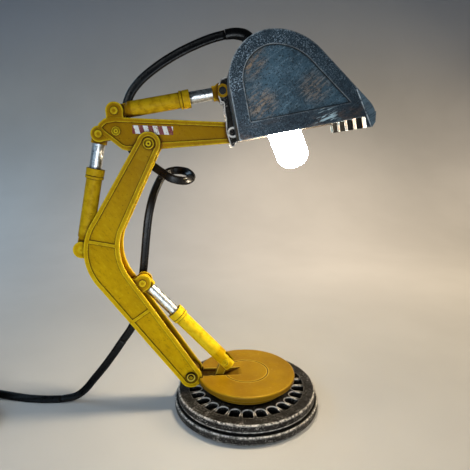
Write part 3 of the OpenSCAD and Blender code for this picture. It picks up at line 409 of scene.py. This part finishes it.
def bucket_tones(s, panel, stroke):
    """The bucket's colours under its wear: dark rims, lighter brushed panels with bronze patches."""
    rim_dark = (0.008, 0.018, 0.031)
    rim_light = (0.027, 0.053, 0.078)
    panel_dark = (0.042, 0.092, 0.135)
    panel_light = (0.080, 0.162, 0.228)
    gloom_blue = (0.014, 0.032, 0.048)
    brush_blue = (0.23, 0.35, 0.43)
    bronze = (0.34, 0.235, 0.155)
    tone = s.span(s.noise(55, 5, rough=0.65), 0.32, 0.68)
    gloom = s.span(s.noise(42, 4, rough=0.6, shift=(0.02, 0, 0.05)), 0.42, 0.62, 0, 0.62)
    panel_tone = s.mix(gloom, s.mix(tone, panel_dark, panel_light), gloom_blue)
    colour = s.mix(panel, s.mix(tone, rim_dark, rim_light), panel_tone)
    brushed = s.times(s.span(stroke, 0.5, 0.70, 0, 0.6), s.span(panel, 0, 1, 0.2, 1.0))
    colour = s.mix(brushed, colour, brush_blue)
    patch = 0.0
    for x, z, radius, strength in BRONZE_PATCHES:
        patch = s.most(patch, s.times(s.near(x, z, radius), strength))
    patch = s.times(patch, s.span(stroke, 0.44, 0.60, 0.05, 1.0))
    return s.mix(s.times(patch, panel), colour, bronze)


def bucket_wear(s, panel, colour):
    """Rust over the mouth, silver grain, pits, a scrape, painted shade in black in the inner corners, and
    bright rubbed edges whose fade to the right is painted highlight.
    """
    rust = (0.20, 0.125, 0.085)
    silver = (0.46, 0.61, 0.75)
    pit_black = (0.005, 0.009, 0.013)
    bare = (0.50, 0.66, 0.72)
    corner_shade_black = (0.004, 0.006, 0.008)
    bright = (0.66, 0.73, 0.78)
    over_mouth = s.minus(s.along("Z"), s.times(s.along("X"), MOUTH_SLOPE))
    band = s.span(over_mouth, *MOUTH_RUST, 0.55, 0.0)
    band = s.times(band, s.span(s.noise(160, 4, rough=0.7, long=3, lean=79), 0.42, 0.62))
    colour = s.mix(band, colour, rust)
    crowded = s.span(s.noise(75, 4, rough=0.6), 0.36, 0.60, 0.12, 1.0)
    crowded = s.times(crowded, s.span(panel, 0, 1, 1.0, 0.30))
    crowded = s.times(crowded, s.span(s.along("X"), *GRAIN_FADE, 1.0, 0.35))
    crowded = s.times(crowded, s.span(over_mouth, *MOUTH_GRAIN, 0.3, 1.0))
    grain = s.times(s.span(s.noise(1150, 3, rough=0.8), 0.52, 0.60), crowded)
    colour = s.mix(s.times(grain, 0.85), colour, silver)
    pit = s.span(s.noise(900, 3, rough=0.7, shift=(0.3, 0.1, 0.2)), 0.52, 0.64, 0, 0.8)
    colour = s.mix(pit, colour, pit_black)
    scratches = s.span(s.noise(420, 3, rough=0.7, long=6, lean=66), 0.50, 0.56)
    colour = s.mix(s.times(s.near(*SCRAPE), scratches), colour, bare)
    # Painted shade, near black, in the inner corners and narrow gaps
    colour = s.mix(s.times(s.corners(0.0030), 0.95), colour, corner_shade_black)
    uneven = s.span(s.noise(260, 4, rough=0.7), 0.36, 0.56, 0.25, 1.0)
    rub = s.times(s.edges(0.0014, low=0.20, high=0.42), uneven)
    # The rubbed edges fade from left to right: painted highlight, brighter where more light falls
    rub = s.times(rub, s.span(s.along("X"), *RUB_FADE, 0.75, 0.25))
    return s.mix(rub, colour, bright)


def bucket_seam(s, stroke, colour):
    """A plain strip in front of the seam and a bright bead along it."""
    strip_blue = (0.12, 0.185, 0.235)
    bead_silver = (0.60, 0.68, 0.74)
    seam = s.minus(s.along("X"), s.times(s.along("Z"), SEAM_SLOPE))
    front = s.times(s.span(seam, *SEAM_STRIP), s.span(stroke, 0.36, 0.58, 0.25, 1.0))
    colour = s.mix(front, colour, strip_blue)
    bead = s.falling(s.size(s.minus(seam, SEAM_AT)), *SEAM_BEAD)
    bead = s.times(bead, s.span(s.noise(240, 4, rough=0.7), 0.38, 0.60))
    return s.mix(bead, colour, bead_silver)


def bucket_paint(name):
    """Blue-black metal paint: silver dry brushing on the rims, bronze strokes on the sunk panels."""
    inner_brown = (0.020, 0.013, 0.008)
    teeth_shade_black = (0.003, 0.0025, 0.002)
    s = Shade(name)
    side = s.size(s.along("Y"))
    panel = s.within(side, PANEL_FROM, PANEL_TO)
    stroke = s.noise(700, 4, rough=0.75, long=4.5, lean=52)
    colour = bucket_tones(s, panel, stroke)
    colour = bucket_wear(s, panel, colour)
    colour = bucket_seam(s, stroke, colour)
    colour = s.mix(s.within(side, INNER_FROM, INNER_TO), colour, inner_brown)
    # Painted shade: the teeth's sideways faces near black
    teeth_sides_in_shade = s.times(s.sideways(), s.falling(side, *TEETH_WITHIN))
    s.set("Base Color", s.mix(teeth_sides_in_shade, colour, teeth_shade_black))
    s.set("Metallic", 0.3)
    s.roughness(320, 4, low=0.34, high=0.58)
    s.bump(s.noise(680, 5, rough=0.75), strength=0.4, distance=0.0005, edge=0.0006)
    return s.material


def cast_iron(name, painted=None):
    """Near-black casting with silver rubbed onto its rims, pockets and grain, painted shade in its inner
    corners, and a painted eye if asked.
    """
    dark = (0.005, 0.0045, 0.0042)
    light = (0.020, 0.0180, 0.0165)
    grain_grey = (0.60, 0.56, 0.52)
    corner_shade_black = (0.002, 0.0018, 0.0016)
    bright = (0.92, 0.88, 0.83)
    eye_yellow = (0.40, 0.215, 0.002)
    s = Shade(name)
    colour = s.mix(s.span(s.noise(60, 5, rough=0.65), 0.32, 0.68), dark, light)
    crowded = s.span(s.noise(85, 4, rough=0.6), 0.40, 0.62, 0.06, 1.0)
    crowded = s.times(crowded, s.span(s.radius(), *TIER_EDGE, 0.50, 0.85))
    grain = s.times(s.span(s.noise(800, 3, rough=0.8), 0.55, 0.62), crowded)
    colour = s.mix(s.times(grain, 0.95), colour, grain_grey)
    # Painted shade, near black, in the inner corners and narrow gaps
    colour = s.mix(s.times(s.corners(0.0030), 0.95), colour, corner_shade_black)
    broken = s.span(s.noise(520, 5, rough=0.85), 0.42, 0.60, 0.05, 1.0)
    pocket = s.span(s.radius(), *POCKET_FADE, 1.0, 0.10)
    pocket = s.times(pocket, s.span(s.noise(420, 3), 0.36, 0.52, 0.45, 1.0))
    pocket = s.most(pocket, s.times(s.span(s.radius(), *TIER_EDGE), broken))
    rub = s.times(s.edges(0.0010, low=0.06, high=0.20), pocket)
    for rim in RIMS:
        rub = s.most(rub, s.times(s.ring(*rim), broken))
    colour = s.mix(rub, colour, bright)
    if painted:
        colour = s.mix(s.near(*painted, core=0.9), colour, eye_yellow)
    s.set("Base Color", colour)
    s.set("Metallic", 0.15)
    s.set("Specular IOR Level", 0.18)
    s.roughness(320, 4, low=0.34, high=0.58)
    s.bump(s.noise(560, 5, rough=0.8), strength=0.9, distance=0.0009, edge=0.0006)
    return s.material


def worn_gold(name):
    """Ochre paint on the turntable: fine turning marks, a painted highlight along its edges and groove, and
    painted shade in the grooves and on its side.
    """
    dark = (0.30, 0.160, 0.002)
    light = (0.40, 0.228, 0.003)
    mark_brown = (0.30, 0.13, 0.004)
    fleck = (0.68, 0.42, 0.05)
    bright = (0.80, 0.54, 0.06)
    groove_shade_brown = (0.060, 0.020, 0.004)
    side_shade_brown = (0.10, 0.040, 0.004)
    s = Shade(name)
    colour = s.mix(s.span(s.noise(40, 5, rough=0.6), *MID), dark, light)
    marks = s.turning_marks(900, 3)
    colour = s.mix(s.span(marks, 0.4, 0.75, 0, 0.22), colour, mark_brown)
    colour = s.mix(s.span(s.noise(420, 3), 0.62, 0.75, 0, 0.35), colour, fleck)
    # Painted highlight along the edges and the groove
    colour = s.mix(s.times(s.edges(0.0011, low=0.06, high=0.30), 0.7), colour, bright)
    # Painted shade in the grooves and the slot
    colour = s.mix(s.times(s.corners(0.0028), 0.95), colour, groove_shade_brown)
    # Painted shade on the disc's side, which gets less light
    colour = s.mix(s.span(s.along("Z"), *DISC_SHADED_SIDE, 0.5, 0.0), colour, side_shade_brown)
    s.set("Base Color", colour)
    s.set("Metallic", 0.15)
    s.set("Specular IOR Level", 0.15)
    s.roughness(170, 4, low=0.32, high=0.48)
    s.bump(s.calc("ADD", s.noise(520, 3), marks), strength=0.10, distance=0.0004, edge=0.0006)
    return s.material


def bright_metal(name, colour, rough, ripple):
    """Polished or brushed metal with a faintly hammered surface and painted shade in its inner corners."""
    corner_shade = (0.05, 0.04, 0.03)
    s = Shade(name)
    tint = s.mix(s.span(s.noise(420, 4, rough=0.65), 0.35, 0.65), darker(colour, 0.6), colour)
    # Painted shade in the inner corners
    s.set("Base Color", s.mix(s.times(s.corners(0.0025), 0.8), tint, corner_shade))
    s.set("Metallic", 1.0)
    s.roughness(420, 3, *rough)
    s.bump(s.noise(560, 3, rough=0.6), strength=ripple, distance=0.0006, edge=0.0003)
    return s.material


def dull_black(name, colour, rough, grain):
    """Moulded black plastic or cord jacket with a fine grain."""
    s = Shade(name)
    s.set("Base Color", s.mix(s.span(s.noise(90, 4), *MID), darker(colour, 0.7), colour))
    s.roughness(240, 3, *rough)
    s.set("Specular IOR Level", 0.2)
    s.bump(s.noise(grain, 3), strength=0.15, distance=0.0002, edge=0.0004)
    return s.material


def felt(name):
    """Black felt with a light fuzz."""
    dark = (0.008, 0.008, 0.008)
    light = (0.03, 0.03, 0.032)
    s = Shade(name)
    s.set("Base Color", s.mix(s.span(s.noise(900, 4), *MID), dark, light))
    s.set("Roughness", 0.95)
    s.set("Sheen Weight", 0.4)
    s.bump(s.noise(1400, 3), strength=0.5, distance=0.0005)
    return s.material


def lit_bulb(name):
    """Frosted glass lit from inside."""
    dull = (0.9, 0.86, 0.78)
    clear = (1, 0.97, 0.9)
    glow = (1.0, 0.84, 0.60)
    s = Shade(name)
    s.set("Base Color", s.mix(s.span(s.noise(300, 3), *MID), dull, clear))
    s.set("Roughness", 0.35)
    s.set("Emission Color", (*glow, 1))
    s.set("Emission Strength", 126.0)
    s.bump(s.noise(900, 2), strength=0.05, distance=0.0002)
    return s.material


def stripes(name):
    """Slanted red and white hazard stripes, scuffed."""
    white = (0.92, 0.90, 0.86)
    red = (0.22, 0.012, 0.018)
    under_paint = (0.36, 0.2, 0.02)
    s = Shade(name)
    slanted = s.calc("ADD", s.along("X"), s.times(s.along("Z"), STRIPE_SLANT))
    band = s.calc("GREATER_THAN", s.calc("FRACT", s.times(slanted, STRIPES_PER_M)), 0.5)
    scuff = s.span(s.noise(700, 4), 0.55, 0.68, 0, 0.8)
    s.set("Base Color", s.mix(scuff, s.mix(band, white, red), under_paint))
    s.roughness(300, 3, low=0.4, high=0.6)
    s.bump(s.noise(600, 3), strength=0.1, distance=0.0002)
    return s.material


def backdrop_paper(name):
    """Matt paper, painted shade making it bluer and darker higher up."""
    dark = (0.56, 0.555, 0.55)
    light = (0.6, 0.595, 0.59)
    high_shade_blue = (0.40, 0.45, 0.54)
    s = Shade(name)
    tone = s.mix(s.span(s.noise(6, 3), *MID), dark, light)
    # Painted shade: bluer and darker higher up
    s.set("Base Color", s.mix(s.span(s.along("Z"), *SHEET_SHADE_HEIGHTS), tone, high_shade_blue))
    s.set("Roughness", 0.8)
    s.set("Specular IOR Level", 0.2)
    return s.material


YELLOW = arm_paint(
    "arm_enamel",
    dark=(0.53, 0.302, 0.0012),
    light=(0.69, 0.410, 0.0018),
    wash_and_shade=(0.075, 0.020, 0.002),
    edge=(0.88, 0.66, 0.02),
)
# A darker copy of the enamel for the upper cylinders: partly a darker paint, partly painted shade where less
# light reaches
AGED_AND_SHADED = arm_paint(
    "aged_and_shaded_enamel",
    dark=(0.38, 0.200, 0.001),
    light=(0.53, 0.300, 0.0015),
    wash_and_shade=(0.060, 0.016, 0.002),
    edge=(0.74, 0.47, 0.012),
)
BUCKET = bucket_paint("bucket_paint")
IRON = cast_iron("base_paint")
HINGE = cast_iron("hinge_paint", HINGE_EYE)
GOLD = worn_gold("turntable_ochre")
CHROME = bright_metal("rod_chrome", (0.80, 0.83, 0.85), rough=(0.26, 0.42), ripple=0.6)
STEEL = bright_metal("pin_steel", (0.50, 0.50, 0.49), rough=(0.28, 0.45), ripple=0.15)
BRASS = bright_metal("washer_brass", (0.66, 0.46, 0.17), rough=(0.3, 0.45), ripple=0.15)
PLASTIC = dull_black("moulded_black", (0.016, 0.016, 0.017), rough=(0.35, 0.5), grain=1200)
JACKET = dull_black("cord_jacket", (0.004, 0.004, 0.0045), rough=(0.24, 0.36), grain=700)
FELT = felt("pad_felt")
BULB = lit_bulb("bulb_lit")
STRIPE = stripes("hazard_stripes")

BY_SLOT = {
    "yellow_paint": YELLOW,
    "ochre_paint": GOLD,
    "bucket_metal": BUCKET,
    "base_iron": IRON,
    "weight_iron": IRON,
    "chrome": CHROME,
    "steel": STEEL,
    "brass": BRASS,
    "felt": FELT,
    "black_plastic": PLASTIC,
    "black_rubber": JACKET,
    "bulb_glass": BULB,
}

# Pieces that look unlike the rest of their slot; the upper cylinders' darker enamel is partly painted shade
BY_NODE = {"bucket_bracket": HINGE, "bucket_pivot_pin": IRON}
for upper in ("stick_cylinder", "bucket_cylinder"):
    for piece in ("barrel", "gland", "rod_end"):
        BY_NODE[upper + "_" + piece] = AGED_AND_SHADED


def coat(obj, material):
    """One material over the whole of a piece."""
    obj.data.materials.clear()
    obj.data.materials.append(material)


def finish_piece(obj, material):
    coat(obj, material)


for part in frame["record"]["subparts"]:
    node = part["node"]
    coat(nodes[node], BY_NODE.get(node, BY_SLOT[part["material_slot"]]))


# Cord, in the stretches of the part's source, in millimetres, degrees and turns

COIL_CENTRE = (-228.0, -20.0)
COIL_R = 38.0
COIL_STEP = 4.0
COIL_BASE = 4.2
COIL_RISE = 7.2
COIL_DIP = 3.5
COIL_TURNS = 6
COIL_POINTS = 40
COIL_FIRST_ANGLE = 90
COIL_CLIMB = 0.5
COIL_START = (COIL_CENTRE[0], COIL_CENTRE[1] + COIL_R, COIL_BASE)
COIL_STOP = (COIL_CENTRE[0], COIL_CENTRE[1] + COIL_R, COIL_BASE + COIL_RISE)

BOOT = [(1.85, 0, 266.8), (0.4, 0, 270.2), (-3.4, 0, 272.7), (-9.3, 0, 273.5), (-15.5, 0.2, 272.8)]
ARCH = [
    (-15.5, 0.2, 272.8), (-26, 1, 270), (-39, 2, 265), (-52, 3.5, 258.8), (-64, 5, 251.5),
    (-74.5, 7, 243.6), (-82, 8.8, 235), (-85.6, 10, 226), (-86, 10.8, 219), (-86, 10.8, 213.6),
]
LOOP = [
    (-86, 10.8, 213.6), (-86, 10.8, 204), (-83, 11.8, 196), (-76.5, 13, 189.5), (-70, 13.4, 185.5),
    (-62, 11.5, 180), (-54.5, 9.8, 175.5), (-45, 12.5, 173.8), (-40.8, 21, 176), (-45, 30.5, 179.6),
    (-54.5, 33.5, 180.6), (-62.5, 29, 177.5), (-67, 22.5, 170), (-70.5, 16.8, 160),
    (-73.5, 14.4, 147), (-75.7, 14, 132), (-77.5, 14, 117), (-79.2, 14, 104),
    (-81.2, 14, 94), (-82.4, 14, 86),
]
DROP = [(-82.4, 14, 86), (-83.4, 14, 78), (-85.5, 13.5, 68), (-90, 12.6, 58.5), (-97, 11.8, 48.5)]
LEAD = [
    (-97, 11.8, 48.5), (-104.4, 11, 37.9), (-112.6, 10.4, 27), (-120.5, 10, 17.5),
    (-128, 9.4, 8.8), (-136, 8.8, 3.4), (-147, 8, 1.7),
]
FLOOR = [
    (-147, 8, 1.7), (-160, 8.4, 1.7), (-173, 10.2, 1.8), (-186, 13.2, 2.4), (-200, 16.4, 3.3),
    (-214, 18, 4), COIL_START,
]
TAIL = [
    COIL_STOP, (-242, 18.2, 11), (-256, 16, 9.2), (-268, 10.5, 7.6), (-277, 2, 6.8),
    (-282.5, -8, 6.5), (-284, -18, 6.5),
]
END = [
    (-284, -76, 6.5), (-284, -82, 6.5), (-281.5, -91, 6.6), (-275, -98, 6.7),
    (-266, -101.5, 6.8), (-255, -102, 6.8),
]

# Ways that the flat cord's broad side can face
ACROSS = (0, 1, 0)
UP = (0, 0, 1)
FRONT = (0, -1, 0)
LEANING = (0, -0.5, 1)

# The twin cord's width and thickness, in metres
CORD_W = 0.0062
CORD_T = 0.0031

# Its section: the height at the groove as a share of a core's radius, and the points round a core
GROOVE = 0.72
CORE_FIRST_ANGLE = -100
CORE_STEP = 25
CORE_POINTS = 9

# The strain relief's half width and half height in metres, at the gland and at the cord
BOOT_W = (0.0045, 0.0034)
BOOT_H = (0.0040, 0.00185)
BOOT_SIDES = 20
BOOT_STEPS_PER_MM = 2.4


def twin_section(share):
    """The section of a flat twin cord, the same all along: two round cores with a shallow groove between."""
    core = CORD_T / 2
    centre = CORD_W / 2 - core
    points = []
    for side, first in ((1, CORE_FIRST_ANGLE), (-1, CORE_FIRST_ANGLE + 180)):
        for k in range(CORE_POINTS):
            a = math.radians(first + CORE_STEP * k)
            points.append((side * centre + core * math.cos(a), core * math.sin(a)))
        points.append((0, side * GROOVE * core))
    return points


def boot_section(share):
    """A strain relief's section, tapering to the cord."""
    w = BOOT_W[0] + (BOOT_W[1] - BOOT_W[0]) * share
    h = BOOT_H[0] + (BOOT_H[1] - BOOT_H[0]) * share
    angles = [math.tau * k / BOOT_SIDES for k in range(BOOT_SIDES)]
    return [(w * math.cos(a), h * math.sin(a)) for a in angles]


def coil_point(u):
    """A point of the coil after u turns, in metres. It climbs to its upper layer half way along."""
    half = COIL_TURNS / 2
    climb = min(max((u - half + COIL_CLIMB / 2) / COIL_CLIMB, 0), 1)
    dip = COIL_DIP * (1 - math.cos(math.tau * climb)) / 2
    r = COIL_R - COIL_STEP * (half - abs(u - half)) - dip
    z = COIL_BASE + COIL_RISE * (3 * climb**2 - 2 * climb**3)
    a = math.radians(COIL_FIRST_ANGLE + 360 * u)
    return mm(COIL_CENTRE[0] + r * math.cos(a), COIL_CENTRE[1] + r * math.sin(a), z)


def cord_piece(name, line, normals):
    piece = tube(name, line, normals, twin_section)
    finish_piece(piece, JACKET)
    return piece


def bent_cord(name, points, facing_0, facing_1, node):
    """A stretch of cord that runs between two bodies, in one fixed shape, and stands for its CAD solid."""
    line = smooth(points)
    piece = cord_piece(name, line, normals_along(line, facing_0, facing_1))
    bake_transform(piece)
    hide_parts(node)


bent_cord("arch_cord", ARCH, ACROSS, ACROSS, "cord_arch")
bent_cord("loop_cord", LOOP, ACROSS, ACROSS, "cord_loop")
bent_cord("drop_cord", DROP, ACROSS, ACROSS, "cord_drop")
bent_cord("lead_cord", LEAD, FRONT, LEANING, "cord_lead")

floor_line = smooth(FLOOR)
coil_line = [coil_point(i / COIL_POINTS) for i in range(COIL_TURNS * COIL_POINTS + 1)]
tail_line = smooth(TAIL)
coil_normals = []
for i, p in enumerate(coil_line):
    inward = (mm(*COIL_CENTRE, 0) - p) * Vector((1, 1, 0))
    coil_normals.append(normals_at(coil_line, i, inward))
desk_line = floor_line[:-1] + coil_line + tail_line[1:]
floor_normals = normals_along(floor_line, LEANING, FRONT)
tail_normals = normals_along(tail_line, FRONT, UP)
desk_cord = cord_piece("desk_cord", desk_line, floor_normals[:-1] + coil_normals + tail_normals[1:])
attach(desk_cord, "base")
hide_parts("cord_floor", "cord_coil", "cord_tail")

end_line = smooth(END)
end_cord = cord_piece("plug_cord", end_line, normals_along(end_line, UP, ACROSS))
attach(end_cord, "base")
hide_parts("cord_end")

boot_line = smooth(BOOT, BOOT_STEPS_PER_MM)
boot = tube("cord_relief", boot_line, normals_along(boot_line, ACROSS, ACROSS), boot_section)
finish_piece(boot, JACKET)
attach(boot, "bucket")
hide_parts("cord_boot")


# Stripes on the near side of the stick, in millimetres

DECAL_LEFT = -79.5
DECAL_RIGHT = -52.0
DECAL_HEIGHT = 210.0
DECAL_FALL = 0.03
DECAL_HALF = 2.8
DECAL_Y = -4.78
DECAL_CUTS = 6

mesh = bmesh.new()
for x in (DECAL_LEFT, DECAL_RIGHT):
    mid = DECAL_HEIGHT - (x - DECAL_LEFT) * DECAL_FALL
    for z in (mid - DECAL_HALF, mid + DECAL_HALF):
        mesh.verts.new(mm(x, DECAL_Y, z))
mesh.verts.ensure_lookup_table()
mesh.faces.new([mesh.verts[i] for i in (0, 2, 3, 1)])
bmesh.ops.subdivide_edges(mesh, edges=mesh.edges[:], cuts=DECAL_CUTS, use_grid_fill=True)
decal = add_object("stick_stripes", mesh, rounded=False)
finish_piece(decal, STRIPE)
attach(decal, "stick")


# Floor and backdrop, in metres: one sheet that curves up far behind the lamp

SHEET_NEAR = -1.6
SHEET_BEND = 0.45
SHEET_R = 0.55
SHEET_TOP = 2.2
SHEET_HALF = 2.5
SHEET_STEPS = 24

sweep = [(SHEET_NEAR, 0), (SHEET_BEND, 0)]
for k in range(1, SHEET_STEPS + 1):
    a = math.radians(90 * k / SHEET_STEPS)
    sweep.append((SHEET_BEND + SHEET_R * math.sin(a), SHEET_R - SHEET_R * math.cos(a)))
sweep.append((SHEET_BEND + SHEET_R, SHEET_TOP))
mesh = bmesh.new()
pairs = []
for y, z in sweep:
    pairs.append([mesh.verts.new((x, y, z)) for x in (-SHEET_HALF, SHEET_HALF)])
for (a, b), (c, d) in zip(pairs, pairs[1:]):
    mesh.faces.new((a, b, d, c))
studio = add_object("studio_sweep", mesh)
coat(studio, backdrop_paper("studio_paper"))


# Light: the lamp's own warm glow over floor and backdrop, cool light from the left, soft fill in front

WARM = (1.0, 0.82, 0.62)
AMBER = (1.0, 0.79, 0.50)
COOL = (0.55, 0.78, 1.0)
PALE = (0.86, 0.94, 1.0)

# The room's colour, its strength as a light, and its strength where the camera sees past the sheet
ROOM_TINT = (0.74, 0.88, 1.0)
ROOM_LIGHT = 0.055
ROOM_SEEN = 0.20

GLOW_SOFTNESS = 0.12

world = bpy.data.worlds.new("studio")
scene.world = world
world.use_nodes = True
room = world.node_tree.nodes["Background"]
room.inputs["Color"].default_value = (*ROOM_TINT, 1)
seen = world.node_tree.nodes.new("ShaderNodeLightPath").outputs["Is Camera Ray"]
strength = world.node_tree.nodes.new("ShaderNodeMapRange")
strength.inputs["To Min"].default_value = ROOM_LIGHT
strength.inputs["To Max"].default_value = ROOM_SEEN
world.node_tree.links.new(seen, strength.inputs["Value"])
world.node_tree.links.new(strength.outputs["Result"], room.inputs["Strength"])


def place_light(name, lamp, place, aim, power, colour):
    """A light turned from its place to an aim, which the camera doesn't see."""
    lamp.energy = power
    lamp.color = colour
    obj = bpy.data.objects.new(name, lamp)
    obj.location = place
    obj.rotation_euler = (Vector(aim) - Vector(place)).to_track_quat("-Z", "Y").to_euler()
    obj.visible_camera = False
    scene.collection.objects.link(obj)


def soft_light(name, place, aim, size, power, colour):
    """A round area light."""
    lamp = bpy.data.lights.new(name, "AREA")
    lamp.shape = "DISK"
    lamp.size = size
    place_light(name, lamp, place, aim, power, colour)


def glow_light(name, place, aim, cone, power, colour):
    """A wide spot with a soft rim."""
    lamp = bpy.data.lights.new(name, "SPOT")
    lamp.spot_size = math.radians(cone)
    lamp.spot_blend = 1.0
    lamp.shadow_soft_size = GLOW_SOFTNESS
    place_light(name, lamp, place, aim, power, colour)


soft_light("front_fill", (-0.06, -0.40, 0.115), (-0.05, 0, 0.06), size=0.20, power=0.74, colour=PALE)
soft_light("right_fill", (0.75, 0.05, 0.50), (0.25, 0.05, 0), size=0.40, power=4.35, colour=AMBER)
soft_light("right_wall", (0.80, 0.60, 0.25), (0.55, 0.95, 0.25), size=0.30, power=0.46, colour=WARM)
soft_light("left_floor", (-0.55, 0.25, 0.50), (-0.40, 0.35, 0), size=0.30, power=0.85, colour=COOL)
soft_light("shadow_fill", (-0.42, -0.30, 0.30), (-0.20, 0, 0), size=0.30, power=0.30, colour=COOL)
soft_light("left_wall", (-0.80, 0.45, 0.25), (-0.45, 1.0, 0.2), size=0.30, power=0.56, colour=COOL)
soft_light("back_left", (-0.70, 0.45, 0.55), (-0.05, 0, 0.1), size=0.40, power=0.85, colour=COOL)
glow_light("floor_glow", (0.14, 0.30, 0.40), (0.14, 0.55, 0), cone=130, power=4.2, colour=WARM)
glow_light("sweep_glow", (0.16, 0.62, 0.58), (0.16, 0.62, 0), cone=120, power=4.5, colour=WARM)


# Camera, at the photograph's viewing angle: sensor and place in millimetres, focal length in pixels

SENSOR = 36
FOCAL_PX = 425.9
IMAGE_PX = 470
NEAR_CLIP = 0.01
EYE = (-28.2, -308.3, 194.4)
EYE_DOWN = 10.95
EYE_TURN = -3.59

lens = bpy.data.cameras.new("camera")
lens.sensor_fit = "HORIZONTAL"
lens.sensor_width = SENSOR
lens.lens = SENSOR * FOCAL_PX / IMAGE_PX
lens.clip_start = NEAR_CLIP
eye = bpy.data.objects.new("camera", lens)
eye.location = mm(*EYE)
eye.rotation_euler = (math.radians(90 - EYE_DOWN), 0, math.radians(EYE_TURN))
scene.collection.objects.link(eye)
scene.camera = eye
scene.view_settings.view_transform = "Standard"
